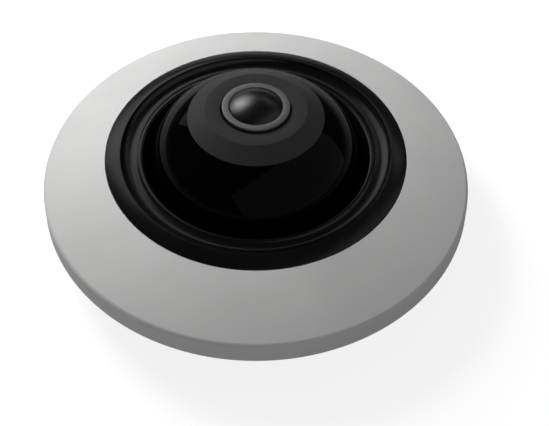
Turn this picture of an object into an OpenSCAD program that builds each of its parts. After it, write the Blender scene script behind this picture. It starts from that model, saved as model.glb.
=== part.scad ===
// Fisheye ceiling camera, lying lens up on its mounting plate.
// Millimetres, +Z towards the lens, origin at the centre of the ceiling face.

/* [Mounting plate] */
// How far the plate stays inside the shell's floor
plate_inset = 1; // [0.5:0.1:1.5]
// Height of the plate from the ceiling to its top
plate_h = 4; // [3.8:0.1:4.6]
// Thickness of the plate's web
plate_web_t = 1.6; // [1.2:0.1:1.8]
// Thickness of the plate's outer skirt
plate_skirt_t = 1.8; // [1.2:0.1:2.4]
// Radius of the opening that the lead passes
cable_hole_r = 14; // [12:0.5:16]
// Thickness of the collar round that opening
cable_collar_t = 1.6; // [1.2:0.1:2.4]
// Distance of the ceiling screws' circle from the plate's edge
screw_inset = 11.5; // [10.5:0.5:12.5]
// Radius of a ceiling screw's hole
screw_hole_r = 2.25; // [2.1:0.05:2.5]
// Radius of the well that takes a screw head
screw_head_space_r = 4.8; // [4.4:0.1:5.2]
// Thickness of the seat under a screw head
screw_seat_t = 1.6; // [1.2:0.1:2]
// Wall of a screw well
well_wall_t = 1.4; // [1:0.1:2]
// Thickness of the plate's radial ribs
plate_rib_t = 1.2; // [0.8:0.1:1.6]

/* [Twist lock] */
// Distance of the hooks' circle from the plate's edge
hook_inset = 12.5; // [12:0.5:13.5]
// Radial width of a hook's stem
hook_stem_w = 3.2; // [2.4:0.2:4]
// Radial width of a hook's head
hook_head_w = 8; // [6:0.5:8.5]
// Thickness of a hook's head
hook_head_t = 1.2; // [1:0.1:1.4]
// Degrees that a hook spans
hook_span = 8; // [6:1:10]
// Degrees that the camera turns to come off
lock_turn = 20; // [16:1:22]
// Gap between plate and camera, along the axis
lock_gap = 0.3; // [0.25:0.05:0.4]
// Gap round a hook in its slot
slot_gap = 0.5; // [0.4:0.05:0.7]

/* [Back shell] */
// Height of the shell from its floor to the cover's edge
shell_h = 6; // [5.6:0.1:6.4]
// How far the shell's cone ends inside the cover's edge
shell_cone_inset = 3.5; // [3:0.1:4]
// Widening of the shell from its floor to the end of its cone
shell_flare = 6; // [5.5:0.1:6.5]
// Thickness of the floor
shell_floor_t = 2; // [1.8:0.1:2.2]
// Thickness of the shell's wall
shell_wall_t = 2; // [1.6:0.1:2.2]
// Thickness of the flange that the cover stands on
shell_flange_t = 1; // [0.8:0.1:1.4]
// Height of the lip that enters the cover
shell_lip_h = 2.5; // [2:0.1:3]
// Height of the posts that carry the main board
post_h = 5.3; // [5:0.1:5.5]
// Radius of a post
post_r = 3; // [2.6:0.1:3.4]
// Distance of the posts' circle from the main board's edge
post_inset = 3; // [2.8:0.1:3.5]

/* [Service pocket] */
// Distance of the pocket's card wall from the axis
pocket_x = 26; // [25.8:0.1:26.4]
// Width of the pocket
pocket_w = 27; // [26:0.5:27.5]
// Distance of the pocket's corners from the floor's edge
pocket_margin = 2.35; // [2:0.05:3]
// Gap between the pocket's roof and the dome's flange
pocket_roof_gap = 0.45; // [0.4:0.05:0.8]
// Thickness of the pocket's walls
pocket_wall_t = 1.4; // [1:0.1:1.5]
// Thickness of the brim that is welded to the floor
pocket_brim_t = 0.7; // [0.5:0.05:0.75]
// Width of that brim
pocket_brim_w = 1.2; // [1:0.1:1.5]

/* [Cover] */
// Width of the cone from the centre ring to the rim
cone_w = 17.8; // [17:0.1:19]
// Height of the rim
rim_h = 5.9; // [5:0.1:7]
// How far the rim leans in over its height
rim_taper = 0.5; // [0:0.1:1]
// Rounding of the rim's upper edge
rim_round_r = 1.5; // [0.5:0.1:2.5]
// Rise of the cone from the rim to the centre ring
cover_rise = 6.55; // [6:0.1:7.5]
// Thickness of the cover
cover_t = 2; // [1.6:0.1:2.2]
// Width of the step that the centre ring lies on
step_w = 3.4; // [3:0.1:3.5]
// Thickness of that step
step_t = 1.3; // [1:0.1:1.5]

/* [Centre ring] */
// Thickness of the sloping ledge
ledge_t = 1.4; // [1.2:0.1:1.6]
// Width of the sloping ledge
ledge_w = 3.8; // [3.4:0.1:4.2]
// Rise of the outer crest over the cover's edge
crest_rise = 1.25; // [0.8:0.05:1.6]
// Width of the trough between the crests
trough_w = 5.9; // [5.5:0.1:6.3]
// Drop of the inner crest below the outer one
inner_crest_drop = 1.3; // [0.8:0.1:1.6]
// Depth of the trough below the line between the crests
trough_depth = 1.5; // [1:0.1:1.8]
// Width of the slope from the inner crest into the throat
throat_w = 1.8; // [1.5:0.1:2.1]
// Gap between the dome and the throat
dome_gap = 2.6; // [2.2:0.1:3]
// Wall thickness of the ring
ring_wall_t = 1.5; // [1.2:0.1:1.6]

/* [Dome] */
// Radius of the dome
dome_r = 27.6; // [27.4:0.1:28]
// Height of the dome's upright foot
dome_foot_h = 3.75; // [3:0.25:4.5]
// Thickness of the dome's wall
dome_wall_t = 1.8; // [1.4:0.1:2]
// Radius at which the chamfer starts
chamfer_r = 18.3; // [18:0.1:18.6]
// Rise of the chamfer
chamfer_rise = 2.7; // [2.4:0.1:3]
// Radius of the flat top
dome_top_r = 13.65; // [13.2:0.05:14]
// Thickness of the dome's flange
dome_flange_t = 1.5; // [1.3:0.1:1.6]
// Thickness of the gasket over the flange
gasket_t = 0.5; // [0.4:0.1:0.6]
// Room over the heads of the main board's screws
head_room = 0.75; // [0.5:0.05:1]

/* [Lens] */
// Outer radius of the metal ring round the glass
lens_ring_r = 9.05; // [8.9:0.05:9.2]
// Radius of the glass that shows
glass_r = 7.1; // [6.9:0.05:7.15]
// How far the metal ring stands over the dome's top
lens_ring_proud = 0.85; // [0.6:0.05:1.1]
// Height of the bulging glass over the metal ring
glass_bulge = 2.3; // [1.8:0.1:2.8]
// Thread radius of the lens barrel
barrel_r = 6; // [5.8:0.1:6.1]
// Radius of the barrel's head
barrel_head_r = 8.3; // [8.2:0.05:8.4]
// Radius of the barrel's collar
barrel_collar_r = 10.2; // [9.9:0.1:10.5]

/* [Boards] */
// Thickness of a circuit board
board_t = 1.6; // [1.5:0.1:1.7]
// Radius of the main board
main_board_r = 41; // [40.8:0.1:41.2]
// How far the sensor board reaches past the lens holder
sensor_board_margin = 2.5; // [2.3:0.1:2.7]
// Length of the spacers between the boards
standoff_h = 4.9; // [4.8:0.1:5.1]

/* [Day and night filter] */
// Travel of the filter frame
filter_travel = 6.4; // [6.2:0.1:6.4]
// Length of the lever from its pivot to its pin
lever_l = 8; // [7.8:0.1:8.2]

/* [Card and button] */
// Length of the memory card
card_l = 15; // [14.8:0.1:15.2]
// Width of the memory card
card_w = 11; // [10.8:0.1:11]
// Thickness of the memory card
card_t = 1; // [0.7:0.05:1]
// Radius of the reset button's stem
button_r = 1.4; // [1.2:0.1:1.5]
// Travel of the reset button
button_travel = 0.4; // [0.3:0.05:0.4]

/* [Hidden] */
$fn = 96;

// How far a cut runs past the face it opens
overrun = 0.4;
// Steps in a rounded corner and in a long curve
corner_steps = 5;
curve_steps = 14;
// Clearance of pieces that lie in each other on one body
seat_gap = 0.05;
// Clearance of a shaft that turns in its hole
running_gap = 0.05;
// Clearance of soft or loose neighbours
loose_gap = 0.15;

// Levels from the ceiling up
web_z = plate_h - plate_web_t;
floor_z = plate_h + lock_gap;
floor_top_z = floor_z + shell_floor_t;
rim_z = floor_z + shell_h;
rim_top_z = rim_z + rim_h;
cover_edge_z = rim_top_z + cover_rise;
main_board_z = floor_top_z + post_h;
main_board_top_z = main_board_z + board_t;
sensor_board_z = main_board_top_z + standoff_h;
sensor_board_top_z = sensor_board_z + board_t;
shell_screw_head_h = 1.3;
dome_flange_z = main_board_top_z + shell_screw_head_h + head_room;
dome_flange_top_z = dome_flange_z + dome_flange_t;
ring_foot_z = dome_flange_top_z + gasket_t;
dome_spring_z = dome_flange_top_z + dome_foot_h;

// Levels in the lens, from the roof of the filter chamber up to the metal ring
chamber_h = 4.7;
chamber_top_z = sensor_board_top_z + chamber_h;
barrel_lift = 0.1;
barrel_z = chamber_top_z + barrel_lift;
rear_inset = 1.85;
rear_t = 4.4;
rear_z = barrel_z + rear_inset;
rear_top_z = rear_z + rear_t;
aperture_t = 1.5;
second_t = 3;
second_z = rear_top_z + aperture_t;
spacer_h = 1.3;
glass_seat_z = second_z + second_t + spacer_h;
glass_edge_h = 1.65;
barrel_top_z = glass_seat_z + glass_edge_h;
ring_lip_t = 0.75;
lens_ring_z = barrel_top_z + ring_lip_t;
dome_top_z = lens_ring_z - lens_ring_proud;
chamfer_z = dome_top_z - chamfer_rise;

// Radii from the dome out to the rim, and back in to the plate
throat_r = dome_r + dome_gap;
inner_crest_r = throat_r + throat_w;
crest_r = inner_crest_r + trough_w;
cover_hole_r = crest_r + ledge_w;
rim_top_r = cover_hole_r + cone_w;
cover_r = rim_top_r + rim_taper;
shell_cone_r = cover_r - shell_cone_inset;
shell_floor_r = shell_cone_r - shell_flare;
plate_r = shell_floor_r - plate_inset;
screw_circle_r = plate_r - screw_inset;
hook_circle_r = plate_r - hook_inset;
post_circle_r = main_board_r - post_inset;

// Directions, in degrees
hook_angles = [60, 180, 300];
ceiling_screw_angles = [0, 120, 240];
plate_rib_angles = [30, 97, 150, 217, 270, 337];
cover_screw_angles = [30, 150, 270];
post_angles = [65, 120, 240, 295];
dome_screw_angles = [45, 135, 225, 315];
ring_lug_angles = [0, 60, 120, 180, 240, 300];
ring_lug_span = 10;
turn_past = 1;

// Unit vector along v
function unit(v) = v / norm(v);

// Arc of radius r round the centre c, from point a to point b by the short way
function arc(c, a, b, n) =
    let (r = norm(a - c), from = atan2(a.y - c.y, a.x - c.x), to = atan2(b.y - c.y, b.x - c.x),
        sweep = (to - from + 540) % 360 - 180)
    [for (i = [0 : n]) c + r * [cos(from + sweep * i / n), sin(from + sweep * i / n)]];

// Corner at b between a and c, rounded to radius r
function rounded(a, b, c, r) =
    let (u = unit(a - b), w = unit(c - b), half = acos(u * w) / 2, reach = r / tan(half),
        centre = b + unit(u + w) * r / sin(half))
    arc(centre, b + u * reach, b + w * reach, corner_steps);

// Outline from points [radius, height] or [radius, height, rounding]
function outline(p) = [for (i = [0 : len(p) - 1]) each
    let (b = p[i], a = p[(i + len(p) - 1) % len(p)], c = p[(i + 1) % len(p)])
    len(b) == 2 ? [b] : rounded([a.x, a.y], [b.x, b.y], [c.x, c.y], b[2])];

// Bow from a to b that stands off to the left of that line by sag, to the right if sag is negative
function bow(a, b, sag) =
    let (half = norm(b - a) / 2, r = (half * half + sag * sag) / (2 * sag), d = unit(b - a))
    arc((a + b) / 2 - [-d.y, d.x] * (r - sag), a, b, curve_steps);

function reversed(p) = [for (i = [len(p) - 1 : -1 : 0]) p[i]];

// Spherical cap from its rim at radius r and height z up to its crown, h above the rim
function cap(r, z, h) =
    let (p = arc([0, z + h - (r * r + h * h) / (2 * h)], [r, z], [0, z + h], curve_steps))
    concat([for (i = [0 : curve_steps - 1]) p[i]], [[0, z + h]]);

module rod(r, z0, z1) {
    translate([0, 0, z0]) cylinder(r = r, h = z1 - z0);
}
module hole(r, z0, z1) {
    rod(r, z0 - overrun, z1 + overrun);
}
module tube(r, hole_r, z0, z1) {
    difference() {
        rod(r, z0, z1);
        hole(hole_r, z0, z1);
    }
}
module block(x0, x1, y0, y1, z0, z1) {
    translate([x0, y0, z0]) cube([x1 - x0, y1 - y0, z1 - z0]);
}
module block_at(x, y, w, l, z0, z1) {
    block(x - w / 2, x + w / 2, y - l / 2, y + l / 2, z0, z1);
}
module sector(r0, r1, z0, z1, a0, a1) {
    translate([0, 0, z0]) rotate([0, 0, a0]) rotate_extrude(angle = a1 - a0)
        translate([r0, 0]) square([r1 - r0, z1 - z0]);
}
module around(angles, r) {
    for (a = angles) rotate([0, 0, a]) translate([r, 0, 0]) children();
}
module corners(x, y) {
    for (i = [-1, 1]) for (j = [-1, 1]) translate([i * x, j * y, 0]) children();
}
// Pan-head screw whose head lies from head_z towards the side of way, 1 up or -1 down
module screw(r, head_r, head_h, seat_z, tip_z) {
    way = sign(seat_z - tip_z);
    recess_r = head_r * recess_share;
    recess_z = seat_z + way * head_h * recess_lift_share;
    rod(r, min(seat_z, tip_z), max(seat_z, tip_z));
    difference() {
        rod(head_r, min(seat_z, seat_z + way * head_h), max(seat_z, seat_z + way * head_h));
        for (a = [0, 90]) rotate([0, 0, a]) translate([0, 0, recess_z])
            cube([recess_r * 2, recess_r / 2, head_h], center = true);
    }
}
recess_share = 0.55;
recess_lift_share = 0.9;
thread_share = 0.8;

// Mounting plate: web, skirt, collar, screw wells and ribs
well_r = screw_head_space_r + well_wall_t;
rib_foot_gap = 0.4;
slot_half = hook_span / 2 + turn_past;
module mounting_plate() {
    color("gainsboro") difference() {
        union() {
            rod(plate_r, web_z, plate_h);
            tube(plate_r, plate_r - plate_skirt_t, 0, plate_h);
            rod(cable_hole_r + cable_collar_t, 0, plate_h);
            around(ceiling_screw_angles, screw_circle_r) rod(well_r, 0, plate_h);
            around(plate_rib_angles, 0)
                block(cable_hole_r + cable_collar_t / 2, plate_r - plate_skirt_t / 2,
                    -plate_rib_t / 2, plate_rib_t / 2, rib_foot_gap, plate_h);
        }
        hole(cable_hole_r, 0, plate_h);
        around(ceiling_screw_angles, screw_circle_r) {
            hole(screw_hole_r, 0, plate_h);
            rod(screw_head_space_r, screw_seat_t, plate_h + overrun);
        }
        around(hook_angles, 0) {
            sector(hook_circle_r - hook_stem_w / 2 - slot_gap, hook_circle_r + hook_stem_w / 2 + slot_gap,
                web_z - overrun, plate_h + overrun, -slot_half, lock_turn);
            sector(hook_circle_r - hook_head_w / 2 - slot_gap, hook_circle_r + hook_head_w / 2 + slot_gap,
                web_z - overrun, plate_h + overrun, lock_turn - slot_half, lock_turn + slot_half);
        }
    }
}

// Lead bush, reset hole, card window and screws in the shell
bush_groove_r = 7;
bush_bore_r = 3.5;
bush_flange_r = 8.6;
bush_flange_t = 1.6;
card_y = -5;
card_drop = 1.35;
card_z = main_board_z - card_drop;
window_gap = 0.4;
button_y = 9;
button_drop = 2.4;
button_z = main_board_z - button_drop;
cover_screw_offset = 4.8;
cover_screw_circle_r = cover_hole_r + cover_screw_offset;
cover_boss_r = 3;
cover_pad_h = 1;
cover_pad_r = 4;
cover_pad_z = floor_top_z + cover_pad_h;
shell_screw_r = 1.2;
shell_screw_head_r = 2.3;
screw_way_gap = 0.2;
counterbore_depth = 1.5;
label_w = 26;
label_l = 12;
label_y = 20;
label_t = 0.25;
label_inset = 0.3;
pocket_side_y = pocket_w / 2 + pocket_wall_t;
pocket_end_x = sqrt(shell_floor_r * shell_floor_r - pocket_side_y * pocket_side_y)
    - pocket_margin - pocket_wall_t;
pocket_roof_z = dome_flange_z - pocket_roof_gap - pocket_wall_t;
shell_slope = (shell_cone_r - shell_floor_r) / (shell_h - shell_flange_t);
shell_lip_r = cover_r - cover_t - 2 * seat_gap - rim_taper;
flange_inset_share = 0.7;
shell_flange_r = cover_r - cover_t * flange_inset_share;
hook_z = web_z - lock_gap - hook_head_t;
module back_shell() {
    color("lightgrey") difference() {
        union() {
            rotate_extrude() polygon(outline([
                [0, floor_z],
                [shell_floor_r, floor_z, shell_flange_t],
                [shell_cone_r, rim_z - shell_flange_t],
                [shell_flange_r, rim_z - shell_flange_t],
                [shell_flange_r, rim_z],
                [shell_lip_r, rim_z],
                [shell_lip_r, rim_z + shell_lip_h],
                [shell_lip_r - shell_wall_t, rim_z + shell_lip_h],
                [shell_lip_r - shell_wall_t, rim_z],
                [shell_floor_r + shell_slope * shell_floor_t - shell_wall_t, floor_top_z],
                [0, floor_top_z]]));
            around(post_angles, post_circle_r) rod(post_r, floor_z, main_board_z);
            around(cover_screw_angles, cover_screw_circle_r)
                rod(cover_pad_r, floor_z + shell_floor_t / 2, cover_pad_z);
            around(hook_angles, 0) {
                sector(hook_circle_r - hook_stem_w / 2, hook_circle_r + hook_stem_w / 2,
                    hook_z, floor_z + shell_floor_t / 2, -hook_span / 2, hook_span / 2);
                sector(hook_circle_r - hook_head_w / 2, hook_circle_r + hook_head_w / 2,
                    hook_z, hook_z + hook_head_t, -hook_span / 2, hook_span / 2);
            }
        }
        pocket_box(pocket_wall_t + seat_gap, floor_z - overrun, floor_top_z + overrun);
        hole(bush_groove_r, floor_z, floor_top_z);
        around(post_angles, post_circle_r)
            rod(shell_screw_r + seat_gap, floor_top_z + seat_gap, main_board_z + overrun);
        around(cover_screw_angles, cover_screw_circle_r) {
            rod(shell_screw_head_r + screw_way_gap, floor_z - overrun, floor_z + counterbore_depth);
            hole(shell_screw_r + screw_way_gap, floor_z, cover_pad_z);
        }
        block_at(0, label_y, label_w + 2 * loose_gap, label_l + 2 * loose_gap,
            floor_z - overrun, floor_z + label_inset);
    }
}

// Service pocket: open-bottomed tub welded into the floor, with the card's window and the button's hole
module pocket_box(wall, z0, z1) {
    block(pocket_x - wall, pocket_end_x + wall, -pocket_w / 2 - wall, pocket_w / 2 + wall, z0, z1);
}
module service_pocket() {
    color("lightgrey") difference() {
        union() {
            pocket_box(pocket_wall_t, floor_z, pocket_roof_z + pocket_wall_t);
            pocket_box(pocket_wall_t + pocket_brim_w, floor_top_z, floor_top_z + pocket_brim_t);
        }
        pocket_box(0, floor_z - overrun, pocket_roof_z);
        block(pocket_x - pocket_wall_t - overrun, pocket_x + overrun,
            card_y - card_w / 2 - window_gap, card_y + card_w / 2 + window_gap,
            card_z - window_gap, card_z + card_t + window_gap);
        translate([pocket_x, button_y, button_z]) rotate([0, -90, 0])
            hole(button_r + loose_gap, 0, pocket_wall_t);
    }
}
module label_plate() {
    color("silver") block_at(0, label_y, label_w, label_l,
        floor_z + label_inset - label_t, floor_z + label_inset);
}
module cable_bush() {
    color("dimgrey") rotate_extrude() polygon(outline([
        [bush_bore_r, floor_z - bush_flange_t],
        [bush_flange_r, floor_z - bush_flange_t, bush_flange_t / 2],
        [bush_flange_r, floor_z],
        [bush_groove_r, floor_z],
        [bush_groove_r, floor_top_z],
        [bush_flange_r, floor_top_z],
        [bush_flange_r, floor_top_z + bush_flange_t, bush_flange_t / 2],
        [bush_bore_r, floor_top_z + bush_flange_t]]));
}
cover_screw_l = 8.5;
module cover_screws() {
    color("darkgrey") around(cover_screw_angles, cover_screw_circle_r)
        screw(shell_screw_r, shell_screw_head_r, shell_screw_head_h,
            floor_z + counterbore_depth, floor_z + counterbore_depth + cover_screw_l);
}

// Front cover: rim, cone, the step for the centre ring and three bosses
cone_slope = cover_rise / cone_w;
step_z = cover_edge_z - ledge_t;
step_r = cover_hole_r - step_w;
cone_under_t = cover_t * sqrt(1 + cone_slope * cone_slope);
rim_inner_r = cover_r - cover_t;
rim_inner_top_z = rim_top_z - cone_under_t + cone_slope * (rim_top_r - rim_inner_r);
step_under_z = step_z - step_t;
step_end_r = rim_top_r - (step_under_z + cone_under_t - rim_top_z) / cone_slope;
module front_cover() {
    color("whitesmoke") difference() {
        union() {
            rotate_extrude() polygon(outline([
                [rim_inner_r, rim_z],
                [cover_r, rim_z],
                [rim_top_r, rim_top_z, rim_round_r],
                [cover_hole_r, cover_edge_z],
                [cover_hole_r, step_z],
                [step_r, step_z],
                [step_r, step_under_z],
                [step_end_r, step_under_z],
                [rim_inner_r, rim_inner_top_z]]));
            intersection() {
                around(cover_screw_angles, cover_screw_circle_r)
                    rod(cover_boss_r, cover_pad_z, cover_edge_z);
                rotate_extrude() polygon([[0, 0], [rim_top_r, 0], [rim_top_r, rim_top_z - cover_t / 2],
                    [cover_hole_r, cover_edge_z - cover_t / 2], [0, cover_edge_z - cover_t / 2]]);
            }
        }
        around(cover_screw_angles, cover_screw_circle_r)
            rod(shell_screw_r + seat_gap, cover_pad_z - overrun,
                floor_z + counterbore_depth + cover_screw_l + seat_gap);
    }
}

// Centre ring: ledge flush with the cover, trough between two crests, throat, feet and snap lugs
ring_r = cover_hole_r - loose_gap;
ring_skirt_r = step_r - loose_gap * 2;
crest_z = cover_edge_z + crest_rise;
inner_crest_z = crest_z - inner_crest_drop;
crest_round_r = 0.35;
throat_flare = 0.6;
lug_w = 1.3;
lug_t = 1.1;
dome_screw_circle_r = (throat_r + ring_skirt_r) / 2;
dome_boss_r = 2.3;
dome_screw_r = 0.95;
dome_screw_l = 4;
dome_screw_head_r = 1.9;
dome_screw_head_h = 1.2;
module centre_ring() {
    trough_floor_z = (crest_z + inner_crest_z) / 2 - trough_depth;
    outer_crest = [crest_r, crest_z];
    inner_crest = [inner_crest_r, inner_crest_z];
    color([0.06, 0.06, 0.065]) difference() {
        union() {
            rotate_extrude() polygon(concat(
                [[ring_r, step_z], [ring_r, cover_edge_z]],
                bow(outer_crest - [crest_round_r, 0], inner_crest + [crest_round_r, 0], trough_depth),
                outline([[inner_crest_r - crest_round_r, inner_crest_z],
                    [throat_r + throat_flare, inner_crest_z - throat_flare * 2],
                    [throat_r, (ring_foot_z + cover_edge_z) / 2],
                    [throat_r, ring_foot_z],
                    [throat_r + ring_wall_t, ring_foot_z],
                    [throat_r + ring_wall_t, trough_floor_z - ring_wall_t, ring_wall_t / 2],
                    [ring_skirt_r - ring_wall_t, trough_floor_z - ring_wall_t, ring_wall_t / 2],
                    [ring_skirt_r - ring_wall_t, ring_foot_z],
                    [ring_skirt_r, ring_foot_z],
                    [ring_skirt_r, step_z]])));
            for (a = ring_lug_angles) sector(ring_skirt_r - overrun, ring_skirt_r + lug_w,
                step_under_z - seat_gap - lug_t, step_under_z - seat_gap,
                a - ring_lug_span / 2, a + ring_lug_span / 2);
            around(dome_screw_angles, dome_screw_circle_r)
                rod(dome_boss_r, ring_foot_z, trough_floor_z - ring_wall_t / 2);
        }
        around(dome_screw_angles, dome_screw_circle_r)
            rod(dome_screw_r + seat_gap, ring_foot_z - overrun,
                dome_flange_z + dome_screw_l + seat_gap);
    }
}

// Dome: elliptical arch, chamfer, flat top with the lens hole, flange clamped under the ring
lens_hole_gap = 0.4;
lens_hole_r = lens_ring_r + lens_hole_gap;
dome_top_t = 1.6;
module dome_shell() {
    start = acos(chamfer_r / dome_r);
    dome_arch_h = (chamfer_z - dome_spring_z) / sin(start);
    inner_r = dome_r - dome_wall_t;
    inner_h = dome_arch_h - dome_wall_t;
    outer_arch = [for (i = [0 : curve_steps]) let (a = start * i / curve_steps)
        [dome_r * cos(a), dome_spring_z + dome_arch_h * sin(a)]];
    inner_arch = [for (i = [curve_steps : -1 : 0]) let (a = start * i / curve_steps)
        [inner_r * cos(a), dome_spring_z + inner_h * sin(a)]];
    color([0.02, 0.02, 0.022]) difference() {
        rotate_extrude() polygon(concat(
            [[ring_skirt_r, dome_flange_z], [ring_skirt_r, dome_flange_top_z],
                [dome_r, dome_flange_top_z]],
            outer_arch,
            [[dome_top_r, dome_top_z], [lens_hole_r, dome_top_z], [lens_hole_r, dome_top_z - dome_top_t],
                [dome_top_r - dome_top_t / 2, dome_top_z - dome_top_t]],
            inner_arch,
            [[inner_r, dome_flange_z]]));
        around(dome_screw_angles, dome_screw_circle_r)
            hole(dome_screw_r + screw_way_gap, dome_flange_z, dome_flange_top_z);
    }
}
module dome_gasket() {
    color("black") difference() {
        tube(ring_skirt_r, throat_r, dome_flange_top_z, ring_foot_z);
        around(dome_screw_angles, dome_screw_circle_r)
            hole(dome_screw_r + screw_way_gap, dome_flange_top_z, ring_foot_z);
    }
}
module dome_screws() {
    color("darkgrey") around(dome_screw_angles, dome_screw_circle_r)
        screw(dome_screw_r, dome_screw_head_r, dome_screw_head_h, dome_flange_z,
            dome_flange_z + dome_screw_l);
}

// Lens: metal ring, glass, barrel with its collar, inner elements, seal and lock nut
ring_skirt_h = 1.3;
ring_bevel = 0.15;
glass_edge_r = glass_r + 0.2;
hollow_share = 0.78;
hollow_depth_share = 0.5;
collar_t = 1;
seal_t = 1.3;
collar_top_z = dome_top_z - dome_top_t - seal_t;
collar_z = collar_top_z - collar_t;
head_drop = 3.6;
head_z = collar_z - head_drop;
spacer_wall_t = 0.8;
second_r = 5.2;
aperture_r = 1.6;
rear_r = 4.4;
rear_crown_t = 0.7;
mid_share = 0.55;
retainer_t = 1.5;
nut_t = 0.9;
nut_r = 8.8;
nut_gap = 0.05;
module lens_ring() {
    color("grey") rotate_extrude() polygon(outline([
        [barrel_head_r + seat_gap, barrel_top_z - ring_skirt_h],
        [lens_ring_r, barrel_top_z - ring_skirt_h],
        [lens_ring_r, lens_ring_z, ring_bevel],
        [glass_r + seat_gap, lens_ring_z, ring_bevel],
        [glass_r + seat_gap, barrel_top_z],
        [barrel_head_r + seat_gap, barrel_top_z]]));
}
module front_lens() {
    rim_z = lens_ring_z - ring_bevel;
    hollow_r = glass_r * hollow_share;
    color([0.05, 0.06, 0.09]) rotate_extrude() polygon(concat(
        cap(glass_r, rim_z, glass_bulge + ring_bevel),
        reversed(cap(hollow_r, glass_seat_z, hollow_r * hollow_depth_share)),
        [[glass_edge_r, glass_seat_z], [glass_edge_r, barrel_top_z], [glass_r, barrel_top_z]]));
}
module lens_barrel() {
    color([0.1, 0.1, 0.1]) rotate_extrude() polygon([
        [rear_r + seat_gap, barrel_z],
        [barrel_r, barrel_z],
        [barrel_r, head_z],
        [barrel_head_r, head_z],
        [barrel_head_r, collar_z],
        [barrel_collar_r, collar_z],
        [barrel_collar_r, collar_top_z],
        [barrel_head_r, collar_top_z],
        [barrel_head_r, barrel_top_z],
        [glass_edge_r + seat_gap, barrel_top_z],
        [glass_edge_r + seat_gap, glass_seat_z],
        [second_r + seat_gap, glass_seat_z],
        [second_r + seat_gap, second_z],
        [aperture_r, second_z],
        [aperture_r, rear_top_z],
        [rear_r + seat_gap, rear_top_z]]);
}
module lens_spacer() {
    color("dimgrey") tube(second_r, second_r - spacer_wall_t, second_z + second_t, glass_seat_z);
}
module second_lens() {
    dish_t = second_t / 3;
    land_r = second_r - spacer_wall_t;
    color("lightsteelblue") rotate_extrude() polygon([
        [0, second_z + dish_t / 2],
        [second_r * mid_share, second_z + dish_t / 6],
        [land_r, second_z],
        [second_r, second_z],
        [second_r, second_z + second_t],
        [land_r, second_z + second_t],
        [second_r * mid_share, second_z + second_t - dish_t * mid_share],
        [0, second_z + second_t - dish_t]]);
}
module rear_lens() {
    land_r = rear_r - spacer_wall_t;
    color("lightsteelblue") rotate_extrude() polygon([
        [0, rear_z],
        [rear_r * mid_share, rear_z + rear_crown_t / 3],
        [land_r, rear_z + rear_crown_t],
        [rear_r, rear_z + rear_crown_t],
        [rear_r, rear_top_z - rear_crown_t],
        [land_r, rear_top_z - rear_crown_t],
        [rear_r * mid_share, rear_top_z - rear_crown_t / 3],
        [0, rear_top_z]]);
}
module lens_retainer() {
    color("dimgrey") tube(rear_r, rear_r - spacer_wall_t, rear_z + rear_crown_t - retainer_t,
        rear_z + rear_crown_t);
}
module lens_seal() {
    color("black") tube(barrel_collar_r, barrel_head_r, collar_top_z, dome_top_z - dome_top_t);
}
module lens_lock_nut() {
    color("dimgrey") tube(nut_r, barrel_r + seat_gap, head_z - nut_gap - nut_t, head_z - nut_gap);
}

// Lens holder on the sensor board: filter chamber, lever bay, threaded turret, screw flange
frame_end = 3.6;
frame_end_gap = 0.75;
filter_half_w = 4.6;
filter_side_gap = 0.35;
holder_wall_t = 1.25;
holder_roof_t = 1.2;
holder_x = filter_travel + frame_end + frame_end_gap + holder_wall_t;
holder_y = filter_half_w + filter_side_gap + holder_wall_t;
holder_top_z = chamber_top_z + holder_roof_t;
turret_r = 8.2;
turret_top_z = head_z - 2 * nut_gap - nut_t;
pin_reach_y = 5;
hub_space_r = 2.7;
pivot_y = lever_l + pin_reach_y;
bay_x = 7.6;
bay_end_y = pivot_y + hub_space_r;
flange_x = 9.6;
flange_y = 12;
flange_t = 1.6;
holder_screw_x = 7;
holder_screw_y = 9.4;
holder_screw_r = 0.65;
filter_lift = 2.2;
filter_z = sensor_board_top_z + filter_lift;
filter_t = 1;
rail_w = 1;
shaft_r = 0.8;
lever_gap = 0.3;
lever_z = filter_z + filter_t + lever_gap;
pin_r = 0.6;
pin_gap = 0.12;
pin_y = pivot_y - sqrt(lever_l * lever_l - filter_travel * filter_travel / 4);
tab_end_t = 1;
tab_end_y = pin_y + pin_r + pin_gap + tab_end_t;
tab_gap = 0.6;
module lens_holder() {
    color([0.12, 0.12, 0.12]) difference() {
        union() {
            block(-holder_x, holder_x, -holder_y, holder_y, sensor_board_top_z, holder_top_z);
            block(-bay_x, bay_x, 0, bay_end_y + holder_wall_t, sensor_board_top_z, holder_top_z);
            block(-flange_x, flange_x, -flange_y, 0, sensor_board_top_z, sensor_board_top_z + flange_t);
            rod(turret_r, holder_top_z - holder_roof_t, turret_top_z);
        }
        difference() {
            block(-holder_x + holder_wall_t, holder_x - holder_wall_t, -holder_y + holder_wall_t,
                holder_y - holder_wall_t, sensor_board_top_z - overrun, chamber_top_z);
            block(-holder_x, holder_x, -holder_y, -holder_y + holder_wall_t + rail_w,
                0, filter_z - loose_gap);
            for (i = [-1, 1]) block(i * holder_x - bay_x / 2, i * holder_x + bay_x / 2,
                holder_y - holder_wall_t - rail_w, holder_y, 0, filter_z - loose_gap);
        }
        block(-bay_x + holder_wall_t, bay_x - holder_wall_t, 0, tab_end_y + tab_gap,
            sensor_board_top_z - overrun, chamber_top_z);
        block(-bay_x + holder_wall_t, bay_x - holder_wall_t, 0, bay_end_y,
            lever_z - lever_gap, chamber_top_z);
        hole(barrel_r + running_gap, chamber_top_z, turret_top_z);
        translate([0, pivot_y, 0]) hole(shaft_r + running_gap, chamber_top_z, holder_top_z);
        for (i = [-1, 1]) translate([i * holder_screw_x, -holder_screw_y, 0])
            hole(holder_screw_r + seat_gap, sensor_board_top_z, sensor_board_top_z + flange_t);
    }
}
holder_screw_head_r = 1.3;
holder_screw_head_h = 0.8;
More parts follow.
